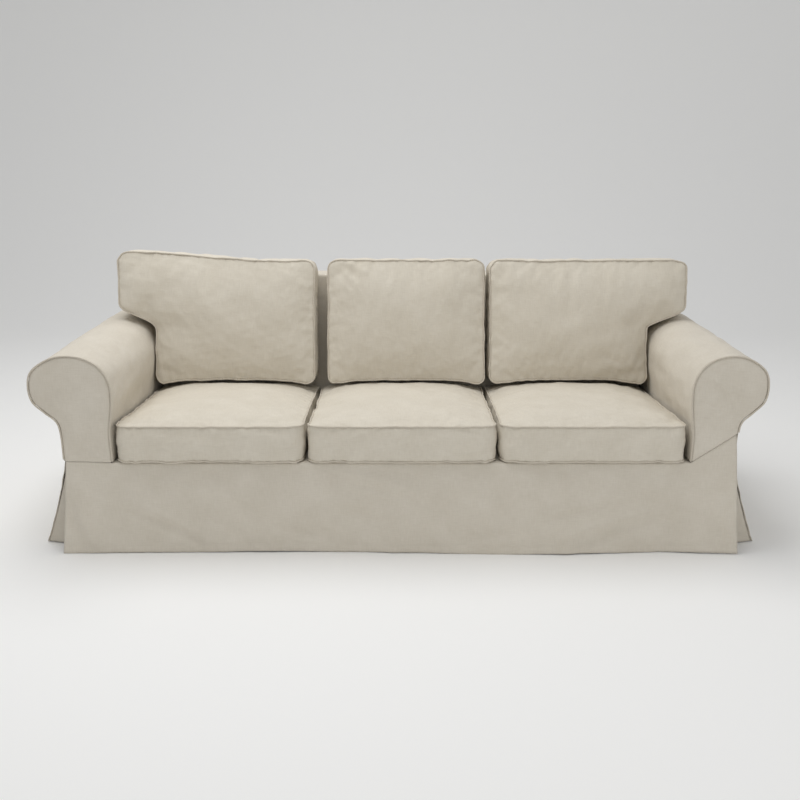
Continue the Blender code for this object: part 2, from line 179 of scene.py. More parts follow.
def seam_dip(away: Array, width: float, depth: float = SEAM_DIP) -> Array:
    """How far cloth is drawn in at a distance from a sewn edge: a bell of that distance.

    Args:
        away: distance from the edge.
        width: width of the bell.
        depth: how far the cloth is drawn in at the edge itself.

    Returns:
        The depth at each point.
    """
    return depth * np.exp(-((away / width) ** 2))


def deck_z(y: float | Array) -> float | Array:
    """Height of the seat deck at a depth in the sofa."""
    return DECK_FRONT_Z - (y - FRONT_Y) * math.tan(SEAT_PITCH)


def inside_back_y(z: float | Array) -> float | Array:
    """Depth of the inside back at a height."""
    return INSIDE_BACK_Y + (z - INSIDE_BACK_Z) * math.tan(BACK_LEAN)


@dataclass(frozen=True)
class Crease:
    """A soft ridge, or a trough where its height is below 0, between two points of a panel."""

    start: tuple[float, float]
    end: tuple[float, float]
    width: float
    height: float
    bow: float = 0.0

    def lift(self, across: Array, along: Array) -> Array:
        """Height that the crease adds at each point of its panel.

        A bell of the distance from the crease's bowed line, steeper on one side than the
        other, times the root of 4s(1-s), where s is the share of the way along it.

        Args:
            across: first coordinate of each point of the panel, in metres.
            along: second coordinate.

        Returns:
            The height at each point.
        """
        run = np.subtract(self.end, self.start)
        length = float(np.hypot(*run))
        ahead, aside = run / length, np.array([-run[1], run[0]]) / length
        east, north = across - self.start[0], along - self.start[1]
        share = np.clip((east * ahead[0] + north * ahead[1]) / length, 0.0, 1.0)
        swell = np.sqrt(np.maximum(4.0 * share * (1.0 - share), 0.0))
        away = east * aside[0] + north * aside[1] - self.bow * 4.0 * share * (1.0 - share)
        reach = self.width * np.where(away > 0.0, 1.25, 0.75)
        return self.height * swell * np.exp(-((away / reach) ** 2))


def lift_of(creases: tuple[Crease, ...], across: Array, along: Array) -> Array:
    """Height that all the creases of a panel add together at each point.

    Args:
        creases: the panel's creases.
        across: first coordinate of each point, in metres.
        along: second coordinate.

    Returns:
        The sum of their heights.
    """
    total = np.zeros(np.broadcast(across, along).shape)
    for crease in creases:
        total += crease.lift(across, along)
    return total


# ---- meshes -----------------------------------------------------------------------------
def new_mesh(name: str, points: Array, quads: Array, uv: Array,
             caps: tuple[tuple[int, ...], ...] = ()) -> bpy.types.Object:
    """Make an object from arrays.

    Args:
        name: the object's name.
        points: its vertices, one in each row.
        quads: four vertex numbers for each face.
        uv: the four corners' places on the cloth, in metres, for each face.
        caps: further faces, as vertex numbers, that close the ends of a tube.

    Returns:
        The new object, at the origin, shaded smooth.
    """
    mesh = bpy.data.meshes.new(name)
    mesh.from_pydata(points.tolist(), [], quads.tolist() + [list(cap) for cap in caps])
    layer = mesh.uv_layers.new(name="cloth")
    flat = np.zeros((len(mesh.loops), 2), dtype=np.float32)
    flat[:quads.size] = uv.reshape(-1, 2)
    layer.data.foreach_set("uv", flat.ravel())
    mesh.polygons.foreach_set("use_smooth", np.ones(len(mesh.polygons), dtype=bool))
    mesh.update()
    obj = bpy.data.objects.new(name, mesh)
    bpy.context.scene.collection.objects.link(obj)
    return obj


def grid_quads(numbers: Array) -> Array:
    """Faces of a grid, from the vertex number at each of its crossings."""
    corners = (numbers[:-1, :-1], numbers[:-1, 1:], numbers[1:, 1:], numbers[1:, :-1])
    return np.stack(corners, axis=-1).reshape(-1, 4)


def grid_object(name: str, points: Array, uv: Array) -> bpy.types.Object:
    """Make one sheet from a grid of points and each point's place on the flat cloth.

    Args:
        name: the object's name.
        points: a grid of points, rows by columns by 3.
        uv: each point's place on the flat cloth, in metres.

    Returns:
        The new object.
    """
    rows, columns = points.shape[:2]
    quads = grid_quads(np.arange(rows * columns).reshape(rows, columns))
    return new_mesh(name, points.reshape(-1, 3), quads, uv.reshape(-1, 2)[quads])


def shares(columns: int, rows: int) -> tuple[Array, Array]:
    """The two parameters of a grid, each from 0 to 1."""
    return np.meshgrid(np.linspace(0.0, 1.0, columns + 1), np.linspace(0.0, 1.0, rows + 1))


def read_points(mesh: bpy.types.Mesh) -> Array:
    """The vertices of a mesh, one in each row.

    Args:
        mesh: the mesh to read.

    Returns:
        Its vertices.
    """
    flat = np.empty(len(mesh.vertices) * 3, dtype=np.float32)
    mesh.vertices.foreach_get("co", flat)
    return flat.reshape(-1, 3).astype(float)


def read_normals(mesh: bpy.types.Mesh) -> Array:
    """The normals at the vertices of a mesh, one in each row.

    Args:
        mesh: the mesh to read.

    Returns:
        The normals at its vertices.
    """
    flat = np.empty(len(mesh.vertices) * 3, dtype=np.float32)
    mesh.vertex_normals.foreach_get("vector", flat)
    return flat.reshape(-1, 3).astype(float)


def write_points(mesh: bpy.types.Mesh, points: Array) -> None:
    """Move the vertices of a mesh to the points given."""
    mesh.vertices.foreach_set("co", points.astype(np.float32).ravel())
    mesh.update()


def tube(name: str, path: Array, reference: Array, radius: float, closed: bool,
         sides: int = 8) -> bpy.types.Object:
    """Carry a round section along a path.

    Each ring is path + radius (cos a side + sin a up), where side is the cross product
    of the run and the reference direction, and up that of side and run.

    Args:
        name: the object's name.
        path: the middle line's points, one in each row.
        reference: a direction well away from the run at each point.
        radius: radius of the section.
        closed: whether the path runs back into its start.
        sides: flat sides of the section.

    Returns:
        The tube, with capped ends where it is open.
    """
    if closed:
        run = np.roll(path, -1, axis=0) - np.roll(path, 1, axis=0)
    else:
        run = np.gradient(path, axis=0)
    run /= np.linalg.norm(run, axis=1)[:, None]
    side = np.cross(run, reference)
    side /= np.linalg.norm(side, axis=1)[:, None]
    up = np.cross(side, run)
    angle = np.linspace(0.0, math.tau, sides, endpoint=False)
    ring = (np.cos(angle)[None, :, None] * side[:, None, :]
            + np.sin(angle)[None, :, None] * up[:, None, :])
    points = path[:, None, :] + radius * ring
    count = len(path)
    numbers = np.arange(count * sides).reshape(count, sides)
    wrapped = np.hstack([numbers, numbers[:, :1]])
    if closed:
        wrapped = np.vstack([wrapped, wrapped[:1]])
    steps = np.linalg.norm(np.diff(path, axis=0, append=path[:1]), axis=1)
    reached = np.concatenate([[0.0], np.cumsum(steps)])[:len(wrapped)]
    spread = np.linspace(0.0, math.tau * radius, sides + 1)
    uv = np.stack(np.meshgrid(spread, reached), axis=-1)
    order = np.arange(wrapped.size).reshape(wrapped.shape)
    quads, corners = grid_quads(wrapped), uv.reshape(-1, 2)[grid_quads(order)]
    caps = () if closed else (tuple(numbers[0]), tuple(numbers[-1, ::-1]))
    return new_mesh(name, points.reshape(-1, 3), quads, corners, caps)


# ---- finishes ---------------------------------------------------------------------------
def linear(hex_colour: str) -> tuple[float, float, float, float]:
    """An sRGB hex colour as linear red, green, blue and alpha.

    Args:
        hex_colour: a hash sign and six hex digits.

    Returns:
        The linear colour.
    """
    parts = [int(hex_colour[start:start + 2], 16) / 255.0 for start in (1, 3, 5)]
    red, green, blue = (part / 12.92 if part <= 0.04045 else ((part + 0.055) / 1.055) ** 2.4
                        for part in parts)
    return (red, green, blue, 1.0)


def add_node(tree: bpy.types.NodeTree, kind: str, settings: dict | None = None,
             links: dict | None = None) -> bpy.types.Node:
    """Add a node.

    Args:
        tree: the material's or the world's node tree.
        kind: the node's type.
        settings: properties and unlinked inputs, by name.
        links: the output socket that feeds each input, by the input's name or number.

    Returns:
        The new node.
    """
    node = tree.nodes.new(kind)
    for name, value in (settings or {}).items():
        if isinstance(name, str) and hasattr(node, name):
            setattr(node, name, value)
        else:
            node.inputs[name].default_value = value
    for name, socket in (links or {}).items():
        tree.links.new(socket, node.inputs[name])
    return node


@dataclass(frozen=True)
class WovenCotton:
    """Heavy plain-woven cotton, piece-dyed and washed: matt, a little slubby, softly creased.

    The eye gets a pale cloth with no shine, whose threads differ slightly in tone, with a
    faint mottle over a hand's width and shallow crumples.
    """

    name: str
    light_hex: str
    dark_hex: str
    thread: float = 0.0014      # real threads are about 0.6 mm apart, drawn coarser to show
    slub: float = 0.030         # length of a thicker stretch of thread
    crumple: float = 0.030      # width of the shallow crumples
    crumple_depth: float = 0.0011
    mottle: float = 0.110       # width of the soft changes of tone
    roughness: float = 0.92
    sheen: float = 0.12

    def thread_tone(self, tree: bpy.types.NodeTree, uv: bpy.types.NodeSocket,
                    across: bool) -> bpy.types.NodeSocket:
        """Tone of the threads that run one way: noise that is long along them.

        Args:
            tree: the material's nodes.
            uv: the place on the cloth.
            across: whether the threads run across the cloth.

        Returns:
            The socket that carries the tone.
        """
        fine, long = 1.0 / (2.0 * self.thread), 1.0 / self.slub
        scale = (long, fine, 1.0) if across else (fine, long, 1.0)
        placed = add_node(tree, "ShaderNodeMapping", {"Scale": scale}, {"Vector": uv})
        tone = add_node(tree, "ShaderNodeTexNoise",
                        {"noise_dimensions": "2D", "Scale": 1.0, "Detail": 2.0},
                        {"Vector": placed.outputs["Vector"]})
        return tone.outputs[0]

    def weave_height(self, tree: bpy.types.NodeTree,
                     uv: bpy.types.NodeSocket) -> bpy.types.NodeSocket:
        """Height of a plain weave: warp and weft bands multiplied together.

        Args:
            tree: the material's nodes.
            uv: the place on the cloth.

        Returns:
            The socket that carries the height.
        """
        bands = []
        for direction in ("X", "Y"):
            wave = add_node(tree, "ShaderNodeTexWave",
                            {"wave_type": "BANDS", "bands_direction": direction,
                             "Scale": 1.0 / (self.thread * 3.2), "Distortion": 1.2,
                             "Detail": 1.0, "Detail Scale": 0.4},
                            {"Vector": uv})
            bands.append(wave.outputs[1])
        joined = add_node(tree, "ShaderNodeMath", {"operation": "ADD"},
                          {0: bands[0], 1: bands[1]})
        return joined.outputs[0]

    def material(self) -> bpy.types.Material:
        """The finish as a material on the piece's own cloth map.

        Returns:
            The new material.
        """
        made = bpy.data.materials.new(self.name)
        made.use_nodes = True
        tree = made.node_tree
        shader = tree.nodes["Principled BSDF"]
        place = add_node(tree, "ShaderNodeUVMap", {"uv_map": "cloth"}).outputs["UV"]
        warp, weft = (self.thread_tone(tree, place, across) for across in (False, True))
        threads = add_node(tree, "ShaderNodeMath", {"operation": "ADD"}, {0: warp, 1: weft})
        cloud = add_node(tree, "ShaderNodeTexNoise",
                         {"Scale": 1.0 / self.mottle, "Detail": 3.0, "Roughness": 0.55},
                         {"Vector": place})
        tone = add_node(tree, "ShaderNodeMath", {"operation": "MULTIPLY_ADD", 1: 0.55},
                        {0: threads.outputs[0], 2: cloud.outputs[0]})
        spread = add_node(tree, "ShaderNodeMapRange",
                          {"From Min": 0.65, "From Max": 1.45}, {"Value": tone.outputs[0]})
        colour = add_node(tree, "ShaderNodeMix",
                          {"data_type": "RGBA", 6: linear(self.dark_hex),
                           7: linear(self.light_hex)}, {0: spread.outputs[0]})
        tree.links.new(colour.outputs[2], shader.inputs["Base Color"])
        crumple = add_node(tree, "ShaderNodeTexNoise",
                           {"Scale": 1.0 / self.crumple, "Detail": 3.0, "Roughness": 0.5,
                            "Distortion": 0.6}, {"Vector": place})
        soft = add_node(tree, "ShaderNodeBump",
                        {"Strength": 1.0, "Distance": self.crumple_depth},
                        {"Height": crumple.outputs[0]})
        woven = add_node(tree, "ShaderNodeBump",
                         {"Strength": 0.55, "Distance": self.thread * 0.16},
                         {"Height": self.weave_height(tree, place),
                          "Normal": soft.outputs[0]})
        tree.links.new(woven.outputs[0], shader.inputs["Normal"])
        shader.inputs["Roughness"].default_value = self.roughness
        shader.inputs["Specular IOR Level"].default_value = 0.25
        shader.inputs["Sheen Weight"].default_value = self.sheen
        shader.inputs["Sheen Roughness"].default_value = 0.6
        return made


# Base cloth of the shell, of the cushions, and the bias strips round the piping cord.
COVER_COTTON = WovenCotton("woven_cotton_cover", "#dbd4c7", "#cec6b7")
CUSHION_COTTON = WovenCotton("woven_cotton_cushions", "#ded7c9", "#d1c9b9",
                             crumple_depth=0.0014)
PIPING_COTTON = WovenCotton("woven_cotton_piping", "#d3cbbd", "#c4bbab", thread=0.0012,
                            crumple=0.012, crumple_depth=0.0003)


@dataclass
class Wardrobe:
    """The three cloths as materials, made once and shared by every piece."""

    cover: bpy.types.Material = field(init=False)
    cushion: bpy.types.Material = field(init=False)
    piping: bpy.types.Material = field(init=False)

    def __post_init__(self) -> None:
        """Make the materials."""
        self.cover = COVER_COTTON.material()
        self.cushion = CUSHION_COTTON.material()
        self.piping = PIPING_COTTON.material()


def settle(obj: bpy.types.Object, material: bpy.types.Material, node: str) -> None:
    """Give a piece its cloth and its body, and hide the node that it stands for.

    Args:
        obj: the piece.
        material: its cloth.
        node: the node that it stands for.
    """
    obj.data.materials.append(material)
    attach(obj, "root")
    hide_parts(node)
    LOG.info("made %s", obj.name)


def settle_sheet(obj: bpy.types.Object, wardrobe: Wardrobe, node: str) -> None:
    """Args:
        obj: the sheet's middle surface.
        wardrobe: the cloths.
        node: the node that it stands for.
    """
    thick = obj.modifiers.new("cloth thickness", "SOLIDIFY")
    thick.thickness = CLOTH
    thick.offset = 0.0
    settle(obj, wardrobe.cover, node)


# ---- skirts -----------------------------------------------------------------------------
def hem_relief(drop: Array) -> Array:
    """Relief of the turned hem: a thicker band below a line of stitches.

    Args:
        drop: height above the hem's edge, in metres.

    Returns:
        How far the cloth stands proud there.
    """
    band = HEM_SWELL * (1.0 - ease(HEM_BAND - 0.002, HEM_BAND + 0.002, drop))
    return band - seam_dip(drop - HEM_BAND, STITCH_WIDTH, STITCH_DEPTH)


@dataclass
class FrontSkirt:
    """The front skirt: one panel from the seat and arm seams to the floor."""

    wardrobe: Wardrobe
    arms: dict[Hand, "RolledArm"]
    neck_half: float = 1.001
    hem_half: float = 1.033
    columns: int = 348
    arm_columns: int = 22
    rows: int = 50
    swing: tuple[tuple[float, float], ...] = (
        (-1.04, 0.0), (-0.70, -0.008), (-0.22, -0.014), (0.12, 0.0), (0.50, 0.011),
        (0.80, -0.012), (1.04, 0.010))
    folds: tuple[Crease, ...] = (
        Crease((-0.87, 0.272), (-0.38, 0.138), 0.024, 0.0060, 0.010),
        Crease((-0.77, 0.258), (-0.56, 0.200), 0.013, -0.0050, 0.006),
        Crease((-0.87, 0.150), (-0.60, 0.018), 0.019, -0.0100, 0.010),
        Crease((-0.84, 0.180), (-0.59, 0.044), 0.018, 0.0070, 0.008),
        Crease((-0.72, 0.190), (-0.46, 0.028), 0.017, -0.0035, 0.008),
        Crease((-0.98, 0.245), (-0.93, 0.015), 0.022, 0.0100, -0.010),
        Crease((-1.015, 0.190), (-0.965, 0.005), 0.018, -0.0060, -0.006),
        Crease((-0.20, 0.275), (0.09, 0.176), 0.018, 0.0070, 0.008),
        Crease((-0.165, 0.236), (0.03, 0.167), 0.014, -0.0065, 0.004),
        Crease((-0.03, 0.275), (0.10, 0.222), 0.014, -0.0035, 0.004),
        Crease((-0.27, 0.174), (-0.04, 0.140), 0.018, 0.0045, 0.006),
        Crease((-0.20, 0.130), (0.01, 0.088), 0.015, -0.0040, 0.004),
        Crease((-0.40, 0.080), (-0.14, 0.020), 0.020, -0.0055, 0.006),
        Crease((0.16, 0.026), (0.39, 0.070), 0.018, -0.0045, 0.006),
        Crease((0.44, 0.104), (0.76, 0.172), 0.018, -0.0065, 0.010),
        Crease((0.40, 0.112), (0.69, 0.182), 0.017, 0.0050, 0.006),
        Crease((0.48, 0.048), (0.76, 0.134), 0.018, 0.0060, 0.008),
        Crease((0.53, 0.008), (0.85, 0.116), 0.020, -0.0100, 0.010),
        Crease((0.76, 0.250), (0.87, 0.278), 0.014, -0.0040, 0.002),
        Crease((0.54, 0.198), (0.69, 0.226), 0.014, -0.0025, 0.003),
        Crease((0.985, 0.120), (1.010, 0.004), 0.016, 0.0080, 0.004),
    )

    def build(self) -> bpy.types.Object:
        """Work the skirt out.

        x runs between the two side edges, which spread towards the hem; z runs from the seam
        to the hem; y is the front plane, less the hem's swing times the drop, the folds times
        its root, and the cloth's unevenness.

        Returns:
            The skirt's middle surface.
        """
        across, down = shares(self.columns, self.rows)
        feet = [self.arms[hand].foot for hand in Hand]
        half = lerp(self.neck_half, self.hem_half, down)
        arm_share = self.arm_columns / self.columns
        inner = np.interp(across, (arm_share, 1.0 - arm_share), (-feet[0], feet[1]))
        west, east = across / arm_share, (1.0 - across) / arm_share
        x = np.where(west < 1.0, lerp(-half, -feet[0], np.minimum(west, 1.0)), inner)
        x = np.where(east < 1.0, lerp(half, feet[1], np.minimum(east, 1.0)), x)
        top = np.where(x < 0.0, self.arms[Hand.LEFT].seam_height(x),
                       self.arms[Hand.RIGHT].seam_height(x)) - SEAM_GAP
        hem = HEM_Z + 0.0010 + 0.0010 * unevenness(x, 0.0 * x, 0.30, 11)
        z = lerp(top, hem, down)
        stations, swings = zip(*self.swing)
        sway = np.interp(x, stations, swings) * down
        folds = lift_of(self.folds, x, z) * np.sqrt(down)
        worn = 0.0011 * unevenness(x, z, 0.140, 3) + 0.0004 * unevenness(x, z, 0.045, 4)
        worn *= ease(0.0, 0.10, down)
        seam = seam_dip(top - z, 0.004)
        y = FRONT_Y - sway - folds - worn - hem_relief(z - hem) + seam
        return grid_object("front_skirt", np.stack([x, y, z], axis=-1),
                           np.stack([x, z], axis=-1))

    def dress(self, obj: bpy.types.Object) -> None:
        settle_sheet(obj, self.wardrobe, "front_skirt")


@dataclass
class SideSkirt:
    """A side skirt, which swings out to the floor, and the pleat behind its front edge."""

    wardrobe: Wardrobe
    hand: Hand
    start: float = 1.005
    flare_front: float = 1.112
    flare_rear: float = 1.050
    flare_back: float = 0.088
    flare_power: float = 1.15
    wave: float = 0.010
    columns: int = 140
    pleat_columns: int = 24
    rows: int = 50

    def reach(self, along: Array, down: Array) -> Array:
        """How far out the skirt hangs: its flare times a power of the drop, and three waves.

        Args:
            along: share of the way from the front edge to the rear.
            down: share of the way from the seam to the hem.

        Returns:
            Distance from the middle of the sofa.
        """
        flare = lerp(self.flare_front, self.flare_rear, along ** 0.6) - self.start
        waves = np.sin(2.5 * math.tau * along) * down * 4.0 * along * (1.0 - along)
        return self.start + flare * down ** self.flare_power + self.wave * waves

    def build_skirt(self) -> bpy.types.Object:
        """Work the skirt out: x is its reach, y runs back from its front edge, z falls.

        Returns:
            The skirt's middle surface.
        """
        along, down = shares(self.columns, self.rows)
        front = FRONT_Y + 0.005 + self.flare_back * down
        y = lerp(front, REAR_Y - PIPING_ROOM, along)
        z = lerp(SEAM_Z - CLOTH, HEM_Z + HEM_LIFT, down)
        seed = 20 + self.hand.value
        folds = 0.0022 * unevenness(y, 0.25 * z, 0.110, seed) * down
        fine = 0.0006 * unevenness(y, z, 0.050, seed + 5) * ease(0.0, 0.15, down)
        x = self.reach(along, down) + folds + fine + hem_relief(z)
        x -= seam_dip(SEAM_Z - z, 0.005)
        points = np.stack([self.hand.value * x, y, z], axis=-1)
        return grid_object(f"side_skirt_{self.hand.word}", points, np.stack([y, z], axis=-1))

    def build_pleat(self) -> bpy.types.Object:
        """Work the corner pleat out: a ruled sheet from behind the front skirt's edge.

        Returns:
            The pleat's middle surface.
        """
        across, down = shares(self.pleat_columns, self.rows)
        inner_x = lerp(0.975, 0.955, down)
        inner_y = FRONT_Y + lerp(0.022, 0.072, down)
        outer_x = self.reach(0.0 * down, down) - 0.004
        outer_y = FRONT_Y + 0.008 + self.flare_back * down
        curl = 0.007 * np.sin(math.pi * across) * down
        x = lerp(inner_x, outer_x, across)
        y = lerp(inner_y, outer_y, across) - curl
        z = lerp(SEAM_Z - 0.006, CLOTH, down)
        y -= hem_relief(z)
        points = np.stack([self.hand.value * x, y, z], axis=-1)
        return grid_object(f"corner_pleat_{self.hand.word}", points, np.stack([x, z], axis=-1))

    def dress(self, skirt: bpy.types.Object, pleat: bpy.types.Object) -> None:
        """Args:
            skirt: the side skirt.
            pleat: the corner pleat.
        """
        settle_sheet(skirt, self.wardrobe, f"side_skirt_{self.hand.word}")
        settle_sheet(pleat, self.wardrobe, f"corner_pleat_{self.hand.word}")


@dataclass
class BackSkirt:
    """The skirt along the rear, nearly flat, with two slack waves."""

    wardrobe: Wardrobe
    neck_half: float = 1.001
    hem_half: float = 1.046
    flare: float = 0.0173
    wave: float = 0.004
    columns: int = 340
    rows: int = 44

    def build(self) -> bpy.types.Object:
        """Work the skirt out: as the front skirt, with its flare and waves to the rear.

        Returns:
            The skirt's middle surface.
        """
        across, down = shares(self.columns, self.rows)
        half = lerp(self.neck_half, self.hem_half, down ** 1.15)
        x = lerp(-half, half, across)
        z = lerp(SEAM_Z - SEAM_GAP, HEM_Z + HEM_LIFT, down)
        waves = np.sin(3.5 * math.tau * across) * np.sin(math.pi * across) * down ** 2
        worn = 0.0016 * unevenness(x, 0.4 * z, 0.150, 31) * down
        worn += 0.0004 * unevenness(x, z, 0.050, 32) * ease(0.0, 0.15, down)
        seam = seam_dip(SEAM_Z - z, 0.005)
        y = REAR_Y + self.flare * down + self.wave * waves + worn + hem_relief(z) - seam
        return grid_object("back_skirt", np.stack([x, y, z], axis=-1),
                           np.stack([-x, z], axis=-1))

    def dress(self, obj: bpy.types.Object) -> None:
        settle_sheet(obj, self.wardrobe, "back_skirt")


# ---- arms -------------------------------------------------------------------------------
# An arm's outline seen from the front, from the inner foot over the roll to the outer foot:
# share of the arm's width from its inner limit, height above the floor.
ARM_OUTLINE = (
    (0.040, 0.2975), (0.045, 0.3850), (0.004, 0.4650), (0.004, 0.5300), (0.100, 0.5800),
    (0.280, 0.6100), (0.500, 0.6195), (0.720, 0.6110), (0.940, 0.5760), (1.000, 0.5300),
    (0.965, 0.4830), (0.830, 0.4500), (0.690, 0.4200), (0.650, 0.3800), (0.640, 0.2975))
NECK_ROW = 12                   # row where the arm cover meets the outer arm
FOOT_SHARE, NECK_SHARE = 0.040, 0.650


@dataclass
class RolledArm:
    """One arm of the cover: the cloth over the roll, the outer arm, the front, the piping."""

    wardrobe: Wardrobe
    hand: Hand
    inner: float
    outer: float
    outer_seam_z: float
    creases: tuple[Crease, ...]
    pieces: int = 12
    cover_columns: int = 104
    cover_rows: int = 110
    face_cells: int = 84
    piping_points: int = 220

    @property
    def foot(self) -> float:
        """Distance of the arm's inner foot from the middle of the sofa."""
        return lerp(self.inner, self.outer, FOOT_SHARE)

    def line(self) -> Array:
        """The arm's outline, x and z, from inner foot to outer foot.

        Returns:
            The outline's points.
        """
        share, height = np.array(ARM_OUTLINE).T
        x = self.hand.value * lerp(self.inner, self.outer, share)
        return smooth_path(np.column_stack([x, height]), self.pieces)

    def seam_height(self, x: Array) -> Array:
        """Height of the seam under the arm front, which climbs towards the outer side.

        Args:
            x: places across the sofa.

        Returns:
            The height at each place.
        """
        neck = lerp(self.inner, self.outer, NECK_SHARE)
        share = (np.abs(x) - self.foot) / (neck - self.foot)
        return lerp(DECK_FRONT_Z, self.outer_seam_z, np.maximum(share, 0.0))

    def build_cover(self) -> bpy.types.Object:
        """Work out the cloth over the roll.

        The outline up to the neck is carried to the rear; its inner foot follows the seat
        deck down; slow waves run along it and small gathers stand at the front edge.

        Returns:
            The cover's middle surface.
        """
        line = self.line()[:NECK_ROW * self.pieces + 1]
        over, back = shares(self.cover_columns, self.cover_rows)
        place = point_on(line, over)
        ahead, behind = point_on(line, np.minimum(over + 0.01, 1.0)), point_on(
            line, np.maximum(over - 0.01, 0.0))
        run = ahead - behind
        run /= np.linalg.norm(run, axis=-1)[..., None]
        out = self.hand.value * np.stack([-run[..., 1], run[..., 0]], axis=-1)
        front, rear = FRONT_Y + PIPING_ROOM, REAR_Y - PIPING_ROOM
        y = lerp(front, rear, back)
        reach = over * line_length(line)
        seed = 40 + self.hand.value
        held = ease(0.0, 0.06, over) * ease(0.0, 0.05, 1.0 - over)
        relief = 0.0018 * unevenness(0.35 * y, reach, 0.090, seed) * held
        relief += 0.0007 * unevenness(y, reach, 0.060, seed + 7) * held
        gather = np.exp(-((y - front) / 0.030))
        relief += 0.0010 * unevenness(0.2 * y, reach, 0.028, seed + 9) * gather * held
        relief -= seam_dip(y - front, 0.006, 0.0020)
        relief -= seam_dip(rear - y, 0.006)
        relief = np.where(relief < 0.0, relief, relief * ease(0.0, 0.03, y - front))
        x = place[..., 0] + out[..., 0] * relief
        z = place[..., 1] + out[..., 1] * relief
        knee = ARM_OUTLINE[2][1]
        drop = SEAM_Z - deck_z(y) - CLOTH / 2 - SEAM_GAP
        low = (over < 0.5) & (z < knee)
        z = np.where(low, z - drop * (knee - z) / (knee - SEAM_Z), z)
        points = np.stack([x, y, z], axis=-1)
        return grid_object(f"arm_cover_{self.hand.word}", points,
                           np.stack([y, reach], axis=-1))

    def build_outer(self) -> bpy.types.Object:
        """Work out the outer arm: the outline below the neck, carried to the rear.

        Returns:
            The outer arm's middle surface.
        """
        line = self.line()[NECK_ROW * self.pieces:]
        over, back = shares(30, 110)
        place = point_on(line, lerp(0.012, 0.992, over))
        y = lerp(FRONT_Y + PIPING_ROOM, REAR_Y - PIPING_ROOM, back)
        bend = np.sin(math.pi * over) * np.sin(math.pi * back)
        slack = 0.0016 * unevenness(y, place[..., 1], 0.120, 60 + self.hand.value) * bend
        x = place[..., 0] + self.hand.value * slack
        points = np.stack([x, y, place[..., 1]], axis=-1)
        return grid_object(f"outer_arm_{self.hand.word}", points,
                           np.stack([y, place[..., 1]], axis=-1))

    def build_front(self) -> bpy.types.Object:
        """Work out the arm front.

        A square grid is drawn into a disc, and each of the disc's rays is stretched from the
        roll's middle to the outline. The panel swells a little, with its own creases.

        Returns:
            The front's middle surface.
        """
        line = self.line()
        step = np.gradient(line, axis=0)
        step /= np.linalg.norm(step, axis=1)[:, None]
        inset = PIPING_ROOM * self.hand.value
        line = line + inset * np.column_stack([step[:, 1], -step[:, 0]])
        line = line[line[:, 1] > self.seam_height(line[:, 0]) + 0.004]
        ends = line[[0, -1]]
        ends[:, 1] = self.seam_height(ends[:, 0]) + SEAM_GAP
        share = np.linspace(0.0, 1.0, 40)[1:-1, None]
        foot = lerp(ends[1], ends[0], share)
        closed = np.vstack([ends[:1], line, ends[1:], foot])
        middle = np.array([self.hand.value * (self.inner + self.outer) / 2, 0.500])
        spoke = closed - middle
        turn, size = np.arctan2(spoke[:, 1], spoke[:, 0]), np.hypot(*spoke.T)
        order = np.argsort(turn)
        turn, size = turn[order], size[order]
        wide, high = shares(self.face_cells, self.face_cells)
        wide, high = 2.0 * wide - 1.0, 2.0 * high - 1.0
        disc_x = wide * np.sqrt(1.0 - high ** 2 / 2.0)
        disc_z = high * np.sqrt(1.0 - wide ** 2 / 2.0)
        ray = np.hypot(disc_x, disc_z)
        reach = np.interp(np.arctan2(disc_z, disc_x), turn, size, period=math.tau)
        x, z = middle[0] + disc_x * reach, middle[1] + disc_z * reach
        swell = 0.0060 * (1.0 - ray ** 4)
        seed = 70 + self.hand.value
        inside = ease(0.0, 0.12, 1.0 - ray)
        worn = (0.0012 * unevenness(x, z, 0.090, seed)
                + 0.0005 * unevenness(x, z, 0.040, seed + 5)) * inside
        edge = 0.0016 * ease(0.955, 1.0, ray)
        y = FRONT_Y - swell - worn - lift_of(self.creases, x, z) * inside + edge
        return grid_object(f"arm_front_{self.hand.word}", np.stack([x, y, z], axis=-1),
                           np.stack([x, z], axis=-1))

    def build_piping(self) -> bpy.types.Object:
        """Carry the piping along the outline, from seam to seam.

        Returns:
            The piping.
        """
        line = self.line()
        line = line[line[:, 1] > self.seam_height(line[:, 0]) + PIPING_RADIUS + SEAM_GAP]
        place = point_on(line, np.linspace(0.0, 1.0, self.piping_points))
        waver = 0.0006 * unevenness(place[:, 0], place[:, 1], 0.060, 80 + self.hand.value)
        path = np.column_stack([place[:, 0], FRONT_Y - 0.0012 + waver, place[:, 1]])
        reference = np.tile([0.0, 1.0, 0.0], (len(path), 1))
        return tube(f"arm_piping_{self.hand.word}", path, reference, PIPING_RADIUS, False)

    def build(self) -> None:
        """Make the arm's four pieces."""
        word = self.hand.word
        cover = self.build_cover()
        settle_sheet(cover, self.wardrobe, f"arm_cover_{word}")
        outer = self.build_outer()
        settle_sheet(outer, self.wardrobe, f"outer_arm_{word}")
        front = self.build_front()
        settle_sheet(front, self.wardrobe, f"arm_front_{word}")
        piping = self.build_piping()
        settle(piping, self.wardrobe.piping, f"arm_piping_{word}")


